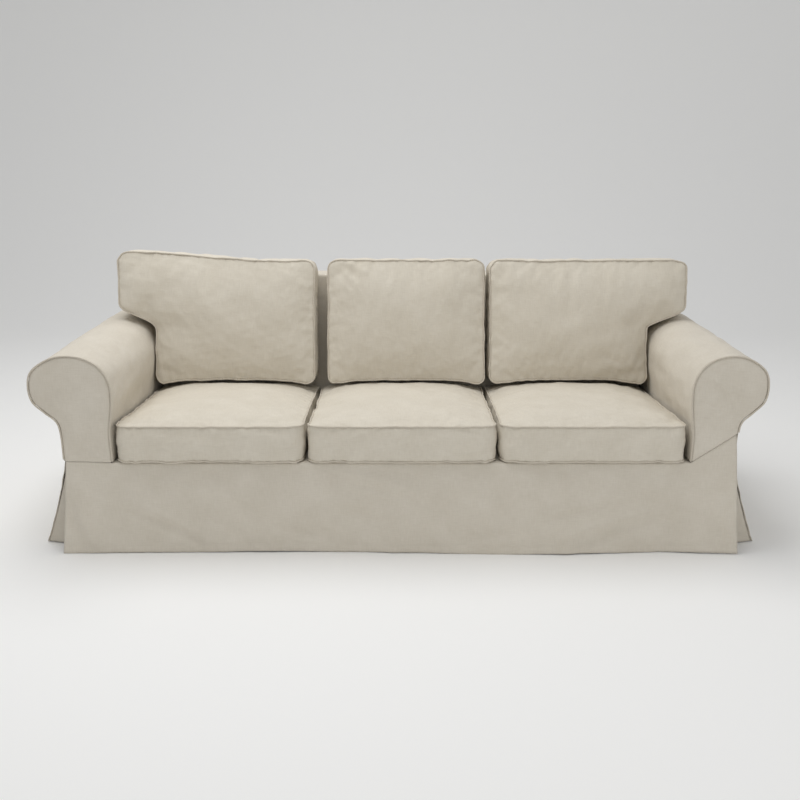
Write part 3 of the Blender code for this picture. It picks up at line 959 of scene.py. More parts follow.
# ---- back -------------------------------------------------------------------------------
@dataclass
class BackShell:
    """The back of the cover: inside back, boxing over the top, outside back, seat deck."""

    wardrobe: Wardrobe
    arms: dict[Hand, RolledArm]
    top_z: float = 0.750
    half_width: float = 0.930
    corner: float = 0.045
    arm_top: float = 0.6235
    columns: int = 150
    rows: int = 70

    def shoulder(self, z: Array) -> Array:
        """Half width of the back above the arms, with its rounded corner.

        Args:
            z: heights above the floor.

        Returns:
            The half width at each height.
        """
        rise = np.clip(z - (self.top_z - self.corner), 0.0, self.corner)
        return self.half_width - self.corner + np.sqrt(
            np.maximum(self.corner ** 2 - rise ** 2, 0.0))

    def edge(self, hand: Hand, z: Array, inner: bool) -> Array:
        """How far the back reaches at a height.

        To the arm's outline, and above it to the back's own shoulder.

        Args:
            hand: the arm on that side.
            z: heights above the floor.
            inner: whether the panel is the inside back.

        Returns:
            Distance from the middle of the sofa at each height.
        """
        arm = self.arms[hand]
        line = arm.line()
        far = np.abs(line[:, 0])
        crest = (arm.inner + arm.outer) / 2
        rise = line[(far < crest) if inner else (far >= crest)]
        rise = rise[np.argsort(rise[:, 1])]
        inset = -2 * CLOTH if inner else 0.0
        reach = np.interp(z, rise[:, 1], np.abs(rise[:, 0])) + inset
        bound = self.half_width if inner else 9.0
        over = ease(self.arm_top - 0.004, self.arm_top, z)
        return lerp(np.minimum(reach, bound), self.shoulder(z), over)

    def panel(self, name: str, low: float, inner: bool) -> bpy.types.Object:
        """A panel ruled between the two arms, from a low edge up to the top of the back.

        Args:
            name: the panel's name.
            low: height of its lower edge.
            inner: whether it is the inside back.

        Returns:
            The panel's middle surface.
        """
        across, up = shares(self.columns, self.rows)
        heights = np.unique(np.concatenate([
            np.linspace(low, self.arm_top - 0.004, self.rows - 24),
            np.linspace(self.arm_top - 0.004, self.arm_top, 5),
            np.linspace(self.arm_top, self.top_z - 0.0002, 22)]))
        z = np.interp(up, np.linspace(0.0, 1.0, len(heights)), heights)
        x = lerp(-self.edge(Hand.LEFT, z, inner), self.edge(Hand.RIGHT, z, inner), across)
        held = 16.0 * across * (1.0 - across) * up * (1.0 - up)
        worn = 0.0030 * unevenness(x, z, 0.260, 90 + inner) + 0.0008 * unevenness(
            x, z, 0.080, 92 + inner)
        y = inside_back_y(z) if inner else REAR_Y + worn * np.minimum(held, 1.0)
        out = x if inner else -x
        return grid_object(name, np.stack([x, y, z], axis=-1), np.stack([out, z], axis=-1))

    def build_boxing(self) -> bpy.types.Object:
        """The strip over the top of the back, carried from the inside back to the rear.

        Returns:
            The strip's middle surface.
        """
        angle = np.linspace(0.0, math.pi / 2, 12)
        rise_x = self.half_width - self.corner * (1 - np.cos(angle))
        rise_z = self.top_z - self.corner * (1 - np.sin(angle))
        half = np.vstack([[self.half_width, self.arm_top],
                          np.column_stack([rise_x, rise_z])])
        line = np.vstack([half * (-1, 1), half[::-1]])
        over, back = shares(240, 16)
        place = point_on(line, over)
        start = inside_back_y(place[..., 1]) + CLOTH / 2 + SEAM_GAP
        y = lerp(start, REAR_Y - CLOTH, back)
        sag = 0.0020 * np.sin(math.pi * back) * np.sin(math.pi * over)
        z = place[..., 1] - sag + 0.0008 * unevenness(place[..., 0], y, 0.080, 95) * (
            np.sin(math.pi * back) * np.sin(math.pi * over))
        points = np.stack([place[..., 0], y, z], axis=-1)
        return grid_object("back_boxing", points,
                           np.stack([over * line_length(line), y], axis=-1))

    def build_deck(self) -> bpy.types.Object:
        """The cloth under the seat cushions, which falls to the rear.

        Returns:
            The deck's middle surface.
        """
        across, back = shares(60, 24)
        ends = [self.arms[hand].foot + CLOTH / 2 for hand in Hand]
        foot_y = inside_back_y(self.back_foot) - 3 * CLOTH
        y = lerp(FRONT_Y + CLOTH, foot_y, back)
        x = lerp(-ends[0], ends[1], across)
        z = deck_z(y) - CLOTH / 2
        return grid_object("seat_deck", np.stack([x, y, z], axis=-1),
                           np.stack([x, y], axis=-1))

    @property
    def back_foot(self) -> float:
        """Height of the inside back's lower edge, where it meets the seat deck."""
        return float(deck_z(inside_back_y(SEAM_Z))) + 3 * CLOTH

    def build(self) -> None:
        """Make the four pieces."""
        inside = self.panel("inside_back", self.back_foot, True)
        settle_sheet(inside, self.wardrobe, "inside_back")
        boxing = self.build_boxing()
        settle_sheet(boxing, self.wardrobe, "back_boxing")
        outside = self.panel("outside_back", SEAM_Z, False)
        settle_sheet(outside, self.wardrobe, "outside_back")
        deck = self.build_deck()
        settle_sheet(deck, self.wardrobe, "seat_deck")


# ---- cushions ---------------------------------------------------------------------------
@dataclass(frozen=True)
class CushionGrid:
    """Vertex numbers of a boxed cushion: two panels, and a boxing between their seams."""

    upper: Array
    lower: Array
    band: Array

    @classmethod
    def of(cls, columns: int, rows: int, layers: int) -> "CushionGrid":
        """Number the vertices: the upper panel, the lower panel, then the boxing's rings.

        Args:
            columns: cells across a panel.
            rows: cells along a panel.
            layers: cells through the boxing's height.

        Returns:
            The numbers.
        """
        size = (columns + 1) * (rows + 1)
        upper = np.arange(size).reshape(rows + 1, columns + 1)
        lower = upper + size
        around = 2 * (columns + rows)
        rings = 2 * size + np.arange((layers - 1) * around).reshape(layers - 1, around)
        return cls(upper, lower, np.vstack([cls.rim(lower), rings, cls.rim(upper)]))

    @staticmethod
    def rim(panel: Array) -> Array:
        """What lies along a panel's seam, anticlockwise seen from the upper side."""
        return np.concatenate([panel[0, :-1], panel[:-1, -1], panel[-1, :0:-1],
                               panel[:0:-1, 0]])

    def faces(self) -> Array:
        """Faces of the whole cushion, which point outwards.

        Returns:
            Four vertex numbers for each face.
        """
        wrapped = np.hstack([self.band, self.band[:, :1]])
        return np.vstack([grid_quads(self.upper), grid_quads(self.lower)[:, ::-1],
                          grid_quads(wrapped)])

    def map_corners(self, across: Array, along: Array, around: Array, thick: Array) -> Array:
        """Each face's corners on the flat cloth.

        Args:
            across: first coordinate of the panels' crossings.
            along: second coordinate of the same.
            around: distance along the boxing's rings, with the start repeated at its end.
            thick: height of each ring.

        Returns:
            Four places for each face, in the order of faces().
        """
        order = grid_quads(np.arange(across.size).reshape(across.shape))
        panel = np.stack([across, along], axis=-1).reshape(-1, 2)[order]
        strip = np.stack(np.meshgrid(around, thick), axis=-1)
        order = grid_quads(np.arange(strip[..., 0].size).reshape(strip.shape[:2]))
        return np.vstack([panel, panel[:, ::-1] + (0.0, 2.0),
                          strip.reshape(-1, 2)[order] + (0.0, 4.0)])


@dataclass
class Cushion:
    """A filled cushion of two panels and a boxing, with piping along both seams."""

    wardrobe: Wardrobe
    name: str
    left: float
    right: float
    radii: tuple[float, float]
    boxing: float
    crowns: tuple[float, float]
    creases: tuple[Crease, ...] = ()
    boxing_creases: tuple[Crease, ...] = ()
    seed: int = 0
    cell: float = 0.0115
    pressure: float = 4.0
    growth: float = 0.012
    furthest: float = 0.022
    fill: float = 0.7

    # -- the shape before it is filled
    def plan(self, wide: Array, high: Array) -> tuple[Array, Array]:
        """Where a point of a panel lies in the cushion's own plane; both inputs run -1 to 1."""
        raise NotImplementedError

    def place(self, across: Array, along: Array, thick: Array) -> Array:
        """Where a point of the cushion lies in the sofa."""
        raise NotImplementedError

    def local(self, points: Array) -> tuple[Array, Array, Array]:
        """The cushion's own coordinates of points in the sofa: across, along and thick."""
        raise NotImplementedError

    def press(self, points: Array) -> Array:
        """The points, kept clear of what the cushion rests on."""
        raise NotImplementedError

    def depth(self) -> float:
        """Length of the cushion's other side, from its foot to its head."""
        raise NotImplementedError

    @staticmethod
    def rounded(wide: Array, high: Array, round_wide: float,
                round_high: float) -> tuple[Array, Array]:
        """Round the corners of a square of side 2.

        Inside each corner's cell, whose sides are the roundings, the local coordinates p and
        q become p root(1 - q^2/2) and q root(1 - p^2/2), which draws a square into a disc.

        Args:
            wide: first parameter, -1 to 1.
            high: second parameter, -1 to 1.
            round_wide: a corner's rounding along the first, as a share of the half side.
            round_high: the same along the second.

        Returns:
            The two parameters, moved.
        """
        p = np.clip((np.abs(wide) - 1.0 + round_wide) / round_wide, 0.0, 1.0)
        q = np.clip((np.abs(high) - 1.0 + round_high) / round_high, 0.0, 1.0)
        p_new, q_new = p * np.sqrt(1.0 - q ** 2 / 2.0), q * np.sqrt(1.0 - p ** 2 / 2.0)
        wide = wide + np.sign(wide) * (p_new - p) * round_wide
        high = high + np.sign(high) * (q_new - q) * round_high
        return wide, high

    @staticmethod
    def dome(wide: Array, high: Array) -> Array:
        """Share of the crown's height: steep at the seams, level in the middle."""
        fall = np.abs(wide) ** 2.6, np.abs(high) ** 2.6
        return (np.maximum(1.0 - fall[0], 0.0) * np.maximum(1.0 - fall[1], 0.0)) ** 0.62

    def shape(self, full: float) -> tuple[bpy.types.Object, CushionGrid]:
        """Make the cushion's coarse mesh.

        Args:
            full: share of the crown that it has to begin with.

        Returns:
            The mesh's object, and the numbers of its vertices.
        """
        columns = max(8, round((self.right - self.left) / self.cell))
        rows = max(8, round(self.depth() / self.cell))
        layers = max(4, round(self.boxing / self.cell))
        numbers = CushionGrid.of(columns, rows, layers)
        wide, high = shares(columns, rows)
        wide, high = 2.0 * wide - 1.0, 2.0 * high - 1.0
        across, along = self.plan(wide, high)
        rise = self.dome(wide, high) * full
        half = self.boxing / 2
        upper = self.place(across, along, half + self.crowns[1] * rise)
        lower = self.place(across, along, -half - self.crowns[0] * rise)
        rim_x, rim_y = CushionGrid.rim(across), CushionGrid.rim(along)
        ahead = np.stack([np.roll(rim_x, -1) - np.roll(rim_x, 1),
                          np.roll(rim_y, -1) - np.roll(rim_y, 1)])
        out = np.stack([ahead[1], -ahead[0]]) / np.hypot(*ahead)
        level = np.linspace(-1.0, 1.0, layers + 1)[:, None]
        bulge = 0.004 * (1.0 - level ** 2) * full
        band = self.place(rim_x + out[0] * bulge, rim_y + out[1] * bulge,
                          half * level + 0.0 * rim_x)
        points = np.vstack([upper.reshape(-1, 3), lower.reshape(-1, 3),
                            band[1:-1].reshape(-1, 3)])
        steps = np.hypot(np.roll(rim_x, -1) - rim_x, np.roll(rim_y, -1) - rim_y)
        around = np.concatenate([[0.0], np.cumsum(steps)])
        uv = numbers.map_corners(across, along, around, half * level[:, 0])
        return new_mesh(self.name, points, numbers.faces(), uv), numbers

    # -- filling it
    def puff(self, obj: bpy.types.Object, numbers: CushionGrid) -> None:
        """Fill the cushion: cloth that is a little too large is blown up between its seams.

        The seams are held, gravity is off, and no point moves further than the cap.

        Args:
            obj: the cushion's coarse mesh.
            numbers: the numbers of its vertices.
        """
        seams = obj.vertex_groups.new(name="seams")
        seams.add([int(number) for number in numbers.band[[0, -1]].ravel()], 1.0, "REPLACE")
        cloth = obj.modifiers.new("filling", "CLOTH")
        rules = cloth.settings
        rules.quality = 5
        rules.mass = 0.3
        rules.use_pressure = True
        rules.uniform_pressure_force = self.pressure
        rules.tension_stiffness = 20.0
        rules.compression_stiffness = 20.0
        rules.shear_stiffness = 8.0
        rules.bending_stiffness = 1.2
        rules.shrink_min = -self.growth
        rules.vertex_group_mass = seams.name
        rules.pin_stiffness = 1.0
        rules.effector_weights.gravity = 0.0
        cloth.point_cache.frame_start, cloth.point_cache.frame_end = 1, FILLING_STEPS
        scene = bpy.context.scene
        for moment in range(1, FILLING_STEPS + 1):
            scene.frame_set(moment)
        start = read_points(obj.data)
        filled = obj.evaluated_get(bpy.context.evaluated_depsgraph_get())
        moved = read_points(filled.data) - start
        far = np.maximum(np.linalg.norm(moved, axis=1), 1e-9)
        obj.modifiers.remove(cloth)
        obj.vertex_groups.remove(seams)
        scene.frame_set(1)
        kept = np.minimum(far, self.furthest * np.tanh(far / self.furthest)) / far
        write_points(obj.data, start + moved * kept[:, None])

    def refine(self, obj: bpy.types.Object, numbers: CushionGrid) -> None:
        """Subdivide the mesh once, with its seams kept firm.

        Args:
            obj: the cushion.
            numbers: the numbers of its coarse vertices.
        """
        mesh = obj.data
        seam = np.zeros(len(mesh.vertices), dtype=bool)
        seam[numbers.band[[0, -1]].ravel()] = True
        ends = np.empty(len(mesh.edges) * 2, dtype=np.int32)
        mesh.edges.foreach_get("vertices", ends)
        on_seam = seam[ends.reshape(-1, 2)].all(axis=1)
        firm = mesh.attributes.new("crease_edge", "FLOAT", "EDGE")
        firm.data.foreach_set("value", np.where(on_seam, SEAM_FIRMNESS, 0.0).astype(np.float32))
        modifier = obj.modifiers.new("finer", "SUBSURF")
        modifier.levels = modifier.render_levels = 1
        evaluated = obj.evaluated_get(bpy.context.evaluated_depsgraph_get())
        finer = bpy.data.meshes.new_from_object(evaluated)
        obj.modifiers.remove(modifier)
        obj.data = finer
        finer.name = self.name
        bpy.data.meshes.remove(mesh)

    def crumple(self, obj: bpy.types.Object) -> None:
        """Put the creases, the puckers along the seams and the fine unevenness in.

        Args:
            obj: the cushion, subdivided.
        """
        mesh = obj.data
        points, normals = read_points(mesh), read_normals(mesh)
        across, along, thick = self.local(points)
        half = self.boxing / 2
        panel = ease(half * 0.96, half * 1.08, np.abs(thick))
        front = ease(half * 0.96, half * 1.08, thick)
        lift = lift_of(self.creases, across, along) * front
        lift += lift_of(self.boxing_creases, across, thick) * (1.0 - panel) * self.facing(
            normals)
        near = np.exp(-((np.abs(np.abs(thick) - half)) / 0.018))
        far = across + along
        lift += 0.0011 * unevenness(far, across - along, 0.036, self.seed) * near
        lift += 0.0013 * unevenness(across, along + 2.0 * thick, 0.120, self.seed + 1)
        lift += 0.0005 * unevenness(across, along + 2.0 * thick, 0.045, self.seed + 2)
        write_points(mesh, self.press(points + normals * lift[:, None]))

    def facing(self, normals: Array) -> Array:
        """How far each point of the boxing faces the side that the creases are on."""
        return ease(0.3, 0.8, -normals[:, 1])

    def build_piping(self, obj: bpy.types.Object, numbers: CushionGrid) -> None:
        """Carry the piping along both seams, a little outside them.

        Args:
            obj: the finished cushion.
            numbers: the numbers of its coarse vertices, which come first in it.
        """
        points, normals = read_points(obj.data), read_normals(obj.data)
        for edge, ring in (("lower", numbers.band[0]), ("upper", numbers.band[-1])):
            seam, out = points[ring], normals[ring]
            rounds = np.vstack([seam[-1:], seam, seam[:2]])
            smooth = smooth_path(rounds, 2)[2:-4]
            spread = smooth_path(np.vstack([out[-1:], out, out[:2]]), 2)[2:-4]
            spread /= np.linalg.norm(spread, axis=1)[:, None]
            steps = np.arange(len(smooth)) * self.cell / 2
            waver = 0.0006 * unevenness(steps, 0.0 * steps, 0.080, self.seed + 3)
            path = smooth + spread * (CORD_STANDOFF + waver)[:, None]
            path = (path + np.roll(path, 1, axis=0) + np.roll(path, -1, axis=0)) / 3.0
            name = f"{self.name}_piping_{edge}"
            piping = tube(name, path, spread, PIPING_RADIUS, True)
            settle(piping, self.wardrobe.piping, name)

    def build(self) -> bpy.types.Object:
        """Make the cushion and its piping.

        Returns:
            The finished cushion.
        """
        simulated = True
        obj, numbers = self.shape(SLACK_CROWN if simulated else 1.0)
        if simulated:
            self.puff(obj, numbers)
        write_points(obj.data, self.press(read_points(obj.data)))
        self.refine(obj, numbers)
        self.crumple(obj)
        settle(obj, self.wardrobe.cushion, self.name)
        self.build_piping(obj, numbers)
        return obj


@dataclass
class SeatCushion(Cushion):
    """A seat cushion: it lies on the deck, which falls to the rear."""

    front_y: float = -0.450
    foot_z: float = 0.3005
    length: float = 0.655
    bounds_x: tuple[float, float] = (-1.0, 1.0)

    def depth(self) -> float:
        """Length of the cushion from front to rear."""
        return self.length

    def plan(self, wide: Array, high: Array) -> tuple[Array, Array]:
        """A rounded rectangle whose front swells and whose other sides are drawn in.

        Args:
            wide: first parameter, -1 to 1.
            high: second parameter, -1 to 1.

        Returns:
            Places across and along the cushion.
        """
        half_x, half_y = (self.right - self.left) / 2, self.length / 2
        wide, high = self.rounded(wide, high, self.radii[0] / half_x, self.radii[1] / half_y)
        along = half_y * (1.0 + high)
        front = 0.004 * (1.0 - wide ** 4) * ease(0.0, 1.0, -high)
        rear = 0.005 * (1.0 - wide ** 4) * ease(0.0, 1.0, high)
        sides = 0.004 * (1.0 - high ** 4) * ease(0.4, 1.0, np.abs(wide))
        across = (self.left + self.right) / 2 + half_x * wide - np.sign(wide) * sides
        return across, along - front - rear

    def place(self, across: Array, along: Array, thick: Array) -> Array:
        """The cushion's plane turned back by the seat's pitch.

        Args:
            across: place across the cushion.
            along: place along it, from the front.
            thick: height above the boxing's middle.

        Returns:
            The points.
        """
        up = thick + self.boxing / 2
        y = self.front_y + along * math.cos(SEAT_PITCH) + up * math.sin(SEAT_PITCH)
        z = self.foot_z - along * math.sin(SEAT_PITCH) + up * math.cos(SEAT_PITCH)
        return np.stack([across + 0.0 * thick, y, z], axis=-1)

    def local(self, points: Array) -> tuple[Array, Array, Array]:
        """The turn of place(), the other way round.

        Args:
            points: points, in metres.

        Returns:
            Places across, along and through the cushion.
        """
        y, z = points[:, 1] - self.front_y, points[:, 2] - self.foot_z
        along = y * math.cos(SEAT_PITCH) - z * math.sin(SEAT_PITCH)
        up = y * math.sin(SEAT_PITCH) + z * math.cos(SEAT_PITCH)
        return points[:, 0], along, up - self.boxing / 2

    def press(self, points: Array) -> Array:
        """Keep the cushion above the deck, between its neighbours, and off the back.

        Args:
            points: points, in metres.

        Returns:
            The points, moved.
        """
        across, along, thick = self.local(points)
        across = np.clip(across, *self.bounds_x)
        thick = np.maximum(thick, -self.boxing / 2 - REST_GAP)
        along = np.minimum(along, self.length + 0.006)
        return self.place(across, along, thick)

    def top_at(self, x: Array, y: Array, tops: Array) -> Array:
        """Height of the cushion's upper side under points.

        Args:
            x: across the sofa, one value for each point.
            y: depth in the sofa.
            tops: heights on an even grid over the cushion, rows from front to rear.

        Returns:
            The heights, read between the grid's crossings.
        """
        rows, columns = tops.shape
        column = np.clip((x - self.left) / (self.right - self.left), 0.0, 1.0) * (columns - 1)
        row = np.clip((y - self.front_y) / self.length, 0.0, 1.0) * (rows - 1)
        west, south = np.minimum(column.astype(int), columns - 2), np.minimum(
            row.astype(int), rows - 2)
        east, north = column - west, row - south
        low = lerp(tops[south, west], tops[south, west + 1], east)
        high = lerp(tops[south + 1, west], tops[south + 1, west + 1], east)
        return lerp(low, high, north)

    def tops(self, obj: bpy.types.Object) -> Array:
        """Heights of the upper side, on an even grid of 25 by 29 places.

        Each place takes the highest vertex near it, or the cushion's foot where none is.

        Args:
            obj: the finished cushion.

        Returns:
            The heights, rows from front to rear.
        """
        points = read_points(obj.data)
        rows, columns = 29, 25
        column = np.round(np.clip((points[:, 0] - self.left) / (self.right - self.left),
                                  0.0, 1.0) * (columns - 1)).astype(int)
        row = np.round(np.clip((points[:, 1] - self.front_y) / self.length,
                               0.0, 1.0) * (rows - 1)).astype(int)
        tops = np.full((rows, columns), self.foot_z)
        np.maximum.at(tops, (row, column), points[:, 2])
        return tops


@dataclass
class BackCushion(Cushion):
    """A back cushion: it stands on a seat cushion and leans on the back."""

    foot_y: float = 0.135
    foot_z: float = 0.3980
    foot_draw: float = 0.020
    height: float = 0.4200
    foot_slope: float = 0.060
    top_slope: float = 0.130
    top_left: float = 0.816
    top_right: float = 0.816
    ear: Hand | None = None
    ear_reach: float = 0.0
    ear_low: tuple[float, float] = (0.590, 0.668)
    seat: SeatCushion | None = None
    seat_tops: Array = field(default=None, repr=False)

    def depth(self) -> float:
        """Height of the cushion from its foot to its top."""
        return self.height

    def plan(self, wide: Array, high: Array) -> tuple[Array, Array]:
        """A rounded rectangle, whose outer side steps out over the arm as an ear.

        Args:
            wide: first parameter, -1 to 1.
            high: second parameter, -1 to 1.

        Returns:
            Places across and along the cushion.
        """
        half_x, half_y = (self.right - self.left) / 2, self.height / 2
        wide, high = self.rounded(wide, high, self.radii[0] / half_x, self.radii[1] / half_y)
        top = lerp(self.top_left, self.top_right, (wide + 1.0) / 2)
        if self.ear is not None:
            outward = self.ear.value * wide
            rise = abs(self.top_left - self.top_right)
            base = min(self.top_left, self.top_right)
            top = base + rise * np.clip((outward + 0.28) / 1.28, 0.0, 1.0) ** 1.05
        foot = self.foot_z + self.foot_draw * (1.0 - np.abs(wide) ** 4)
        foot = lerp(foot, self.foot_z + self.foot_draw, ease(-1.0, 1.0, high))
        up = (high + 1.0) / 2
        along = lerp(foot, top, up)
        sides = 0.004 * (1.0 - high ** 4) * ease(0.4, 1.0, np.abs(wide))
        crown = 0.003 * (1.0 - wide ** 4) * ease(0.3, 1.0, high)
        across = (self.left + self.right) / 2 + half_x * wide - np.sign(wide) * sides
        if self.ear is not None:
            step = ease(*self.ear_low, along)
            share = np.clip(self.ear.value * (across - (self.left + self.right) / 2) / half_x,
                            0.0, 1.1)
            across = across + self.ear.value * self.ear_reach * step * share ** 1.6
        return across, along - crown

    def place(self, across: Array, along: Array, thick: Array) -> Array:
        """The cushion's plane leant back, its boxing sloping a little more at the top.

        Args:
            across: place across the cushion.
            along: height before the lean.
            thick: distance in front of the boxing's middle.

        Returns:
            The points.
        """
        rise = along - self.foot_z
        slope = lerp(self.foot_slope, self.top_slope, rise / self.height)
        y = self.foot_y + rise * math.tan(BACK_LEAN) - thick
        return np.stack([across + 0.0 * thick, y, along + thick * slope], axis=-1)

    def local(self, points: Array) -> tuple[Array, Array, Array]:
        """The lean of place(), undone in three rounds of correction.

        Args:
            points: points, in metres.

        Returns:
            Places across, along and through the cushion.
        """
        along = points[:, 2]
        for _ in range(3):
            rise = along - self.foot_z
            slope = lerp(self.foot_slope, self.top_slope, rise / self.height)
            thick = self.foot_y + rise * math.tan(BACK_LEAN) - points[:, 1]
            along = points[:, 2] - thick * slope
        return points[:, 0], along, thick

    def press(self, points: Array) -> Array:
        """Keep the cushion in front of the back and above its seat.

        Args:
            points: points, in metres.

        Returns:
            The points, moved.
        """
        x, y, z = points.T
        rest = inside_back_y(z) - 2 * CLOTH
        y = np.minimum(y, rest)
        if self.seat_tops is not None:
            z = np.maximum(z, self.seat.top_at(x, y, self.seat_tops) + REST_GAP)
        return np.column_stack([x, y, z])


# ---- studio -----------------------------------------------------------------------------
@dataclass(frozen=True)
class Softbox:
    """A large soft lamp: where it stands, what it looks at, its two sides and its power."""

    name: str
    place: tuple[float, float, float]
    aim: tuple[float, float, float]
    size: tuple[float, float]
    power: float
    colour: str = "#ffffff"

    def build(self) -> bpy.types.Object:
        """Hang the lamp.

        Returns:
            The lamp.
        """
        data = bpy.data.lights.new(self.name, "AREA")
        data.shape = "RECTANGLE"
        data.size, data.size_y = self.size
        data.energy = self.power
        data.color = linear(self.colour)[:3]
        lamp = bpy.data.objects.new(self.name, data)
        bpy.context.scene.collection.objects.link(lamp)
        lamp.location = self.place
        away = Vector(self.place) - Vector(self.aim)
        lamp.rotation_euler = away.to_track_quat("Z", "Y").to_euler()
        return lamp


@dataclass
class Studio:
    """A plain pale floor that sweeps up behind, soft light, and the camera."""

    floor_hex: str = "#f7f7f6"
    sky_hex: str = "#ffffff"
    sky_strength: float = 0.50
    boxes: tuple[Softbox, ...] = (
        Softbox("overhead", (-0.7, 0.1, 3.3), (0.0, 0.0, 0.4), (3.4, 2.4), 62.0),
        Softbox("front_right", (2.4, -3.6, 1.5), (0.2, 0.0, 0.3), (2.0, 1.8), 14.0),
    )
    floor_half: float = 8.0
    sweep_start: float = 3.0
    sweep_radius: float = 2.0
    wall_top: float = 9.0
    camera_place: tuple[float, float, float] = (0.0, -3.293, 1.258)
    camera_pitch: float = 15.1
    camera_lens: float = 45.135

    def build_floor(self) -> bpy.types.Object:
        """Work out the sweep: flat, a quarter circle behind, and a wall, 16 m wide.

        Returns:
            The floor.
        """
        bend = np.linspace(0.0, math.pi / 2, 14)
        radius, start = self.sweep_radius, self.sweep_start
        line = np.vstack([[-self.floor_half, 0.0],
                          np.column_stack([start + radius * np.sin(bend),
                                           radius * (1 - np.cos(bend))]),
                          [start + radius, self.wall_top]])
        across, along = shares(1, len(line) - 1)
        place = line[np.round(along * (len(line) - 1)).astype(int)]
        x = lerp(-self.floor_half, self.floor_half, across)
        points = np.stack([x, place[..., 0], place[..., 1] - 0.0006], axis=-1)
        floor = grid_object("studio_floor", points, points[..., :2])
        made = bpy.data.materials.new("matt_painted_floor")
        made.use_nodes = True
        shader = made.node_tree.nodes["Principled BSDF"]
        shader.inputs["Base Color"].default_value = linear(self.floor_hex)
        shader.inputs["Roughness"].default_value = 0.95
        shader.inputs["Specular IOR Level"].default_value = 0.1
        floor.data.materials.append(made)
        return floor

    def build_world(self) -> None:
        """Fill the room with even, neutral light."""
        world = bpy.data.worlds.new("studio_air")
        world.use_nodes = True
        air = world.node_tree.nodes["Background"]
        air.inputs["Color"].default_value = linear(self.sky_hex)
        air.inputs["Strength"].default_value = self.sky_strength
        bpy.context.scene.world = world

    def build_camera(self) -> None:
        """Stand the camera in front of the sofa, level from side to side, looking down."""
        data = bpy.data.cameras.new("camera")
        data.lens = self.camera_lens
        data.sensor_width = 36.0
        data.clip_start, data.clip_end = 0.05, 60.0
        camera = bpy.data.objects.new("camera", data)
        bpy.context.scene.collection.objects.link(camera)
        camera.location = self.camera_place
        camera.rotation_euler = (math.radians(90.0 - self.camera_pitch), 0.0, 0.0)
        bpy.context.scene.camera = camera

    def build(self) -> None:
        """Set the whole studio up."""
        self.build_floor()
        self.build_world()
        for box in self.boxes:
            box.build()
        self.build_camera()
        bpy.context.scene.view_settings.view_transform = "Standard"


# ---- the whole cover --------------------------------------------------------------------
LEFT_ARM_CREASES = (
    Crease((-0.913, 0.336), (-0.868, 0.303), 0.010, -0.0040),
    Crease((-0.925, 0.330), (-0.880, 0.300), 0.009, 0.0040),
    Crease((-0.860, 0.520), (-0.900, 0.440), 0.014, 0.0025, 0.004),
)
RIGHT_ARM_CREASES = (
    Crease((0.888, 0.552), (0.982, 0.470), 0.010, -0.0040, 0.006),
    Crease((0.915, 0.556), (0.965, 0.505), 0.009, 0.0030, 0.004),
    Crease((0.880, 0.482), (0.955, 0.458), 0.009, -0.0032, 0.003),
    Crease((0.880, 0.440), (0.950, 0.424), 0.009, -0.0028, 0.002),
    Crease((0.900, 0.320), (1.000, 0.392), 0.014, 0.0035, 0.000),
)


def seat_cushions(wardrobe: Wardrobe) -> dict[str, SeatCushion]:
    """The three seat cushions, from left to right.

    Args:
        wardrobe: the cloths.

    Returns:
        The cushions, by their place in the row.
    """
    common = {"radii": (0.040, 0.037), "boxing": 0.1055, "crowns": (0.001, 0.035),
              "wardrobe": wardrobe}
    return {
        "left": SeatCushion(
            name="seat_cushion_left", left=-0.8505, right=-0.2890, seed=201,
            bounds_x=(-0.8590, -0.2828), **common,
            boxing_creases=(
                Crease((-0.594, 0.056), (-0.588, 0.010), 0.010, -0.0030),
                Crease((-0.560, 0.056), (-0.552, 0.020), 0.009, 0.0030),
                Crease((-0.520, 0.056), (-0.512, 0.005), 0.011, -0.0035),
                Crease((-0.470, 0.056), (-0.462, 0.020), 0.010, 0.0030),
                Crease((-0.410, 0.056), (-0.360, 0.030), 0.010, -0.0030))),
        "middle": SeatCushion(
            name="seat_cushion_middle", left=-0.2755, right=0.2875, seed=211,
            bounds_x=(-0.2818, 0.2938), **common,
            boxing_creases=(
                Crease((0.150, 0.052), (0.270, 0.020), 0.010, -0.0035, 0.003),
                Crease((0.180, 0.056), (0.285, 0.036), 0.009, 0.0030, 0.002))),
        "right": SeatCushion(
            name="seat_cushion_right", left=0.3010, right=0.8555, seed=221,
            bounds_x=(0.2948, 0.8680), **common,
            boxing_creases=(
                Crease((0.790, 0.056), (0.800, 0.020), 0.009, -0.0030),
                Crease((0.825, 0.056), (0.832, 0.024), 0.009, 0.0030))),
    }


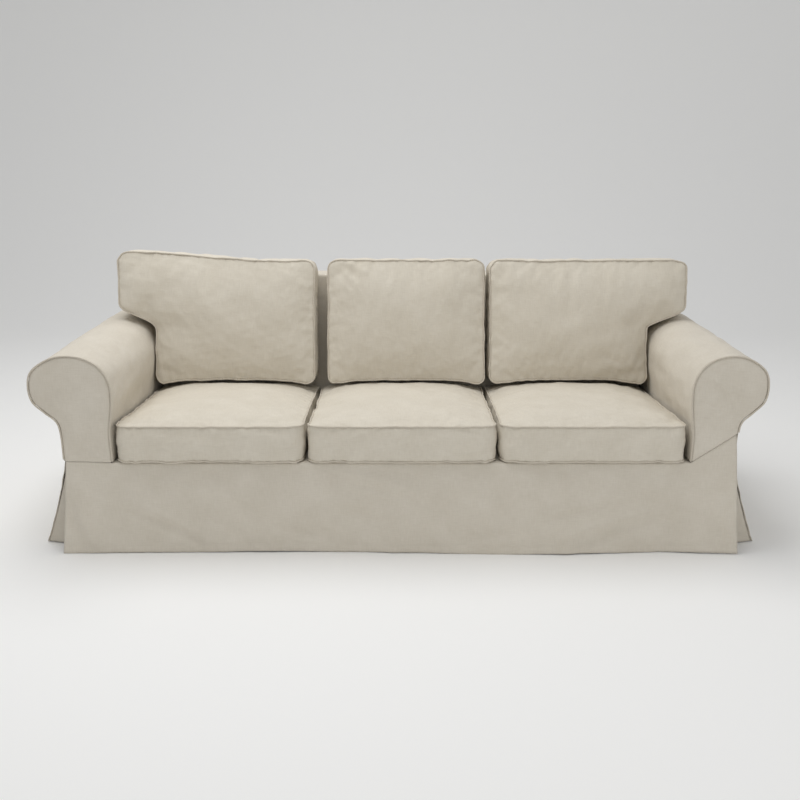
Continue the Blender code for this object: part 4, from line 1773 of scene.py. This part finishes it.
def back_cushions(wardrobe: Wardrobe) -> dict[str, BackCushion]:
    """The three back cushions, from left to right.

    Args:
        wardrobe: the cloths.

    Returns:
        The cushions, by their place in the row.
    """
    common = {"radii": (0.036, 0.036), "boxing": 0.120, "crowns": (0.035, 0.035),
              "wardrobe": wardrobe}
    return {
        "left": BackCushion(
            name="back_cushion_left", left=-0.8450, right=-0.2940, seed=301, **common,
            ear=Hand.LEFT, ear_reach=0.1325, top_left=0.848, top_right=0.814),
        "middle": BackCushion(
            name="back_cushion_middle", left=-0.2505, right=0.2920, seed=311, **common,
            creases=(
                Crease((-0.205, 0.800), (-0.140, 0.745), 0.011, -0.0045, 0.003),
                Crease((-0.225, 0.785), (-0.165, 0.720), 0.010, -0.0035, 0.003),
                Crease((-0.185, 0.808), (-0.110, 0.765), 0.010, 0.0030, 0.002))),
        "right": BackCushion(
            name="back_cushion_right", left=0.3080, right=0.8550, seed=321, **common,
            ear=Hand.RIGHT, ear_reach=0.1380, top_left=0.816, top_right=0.814,
            ear_low=(0.592, 0.652),
            creases=(Crease((0.690, 0.500), (0.770, 0.465), 0.012, -0.0035, 0.003),)),
    }


def main() -> None:
    """Build the studio and every piece of the cover, in order."""
    logging.basicConfig(level=logging.INFO, format="%(name)s: %(message)s")
    Studio().build()
    wardrobe = Wardrobe()
    arms = {
        Hand.LEFT: RolledArm(wardrobe, Hand.LEFT, 0.852, 1.093, 0.2975, LEFT_ARM_CREASES),
        Hand.RIGHT: RolledArm(wardrobe, Hand.RIGHT, 0.862, 1.083, 0.3850, RIGHT_ARM_CREASES),
    }
    skirt = FrontSkirt(wardrobe, arms)
    skirt.dress(skirt.build())
    for hand, arm in arms.items():
        arm.build()
        side = SideSkirt(wardrobe, hand)
        side.dress(side.build_skirt(), side.build_pleat())
    rear = BackSkirt(wardrobe)
    rear.dress(rear.build())
    BackShell(wardrobe, arms).build()
    seats, backs = seat_cushions(wardrobe), back_cushions(wardrobe)
    for name, seat in seats.items():
        made = seat.build()
        backs[name].seat, backs[name].seat_tops = seat, seat.tops(made)
    for back in backs.values():
        back.build()


if __name__ == "__main__":
    main()
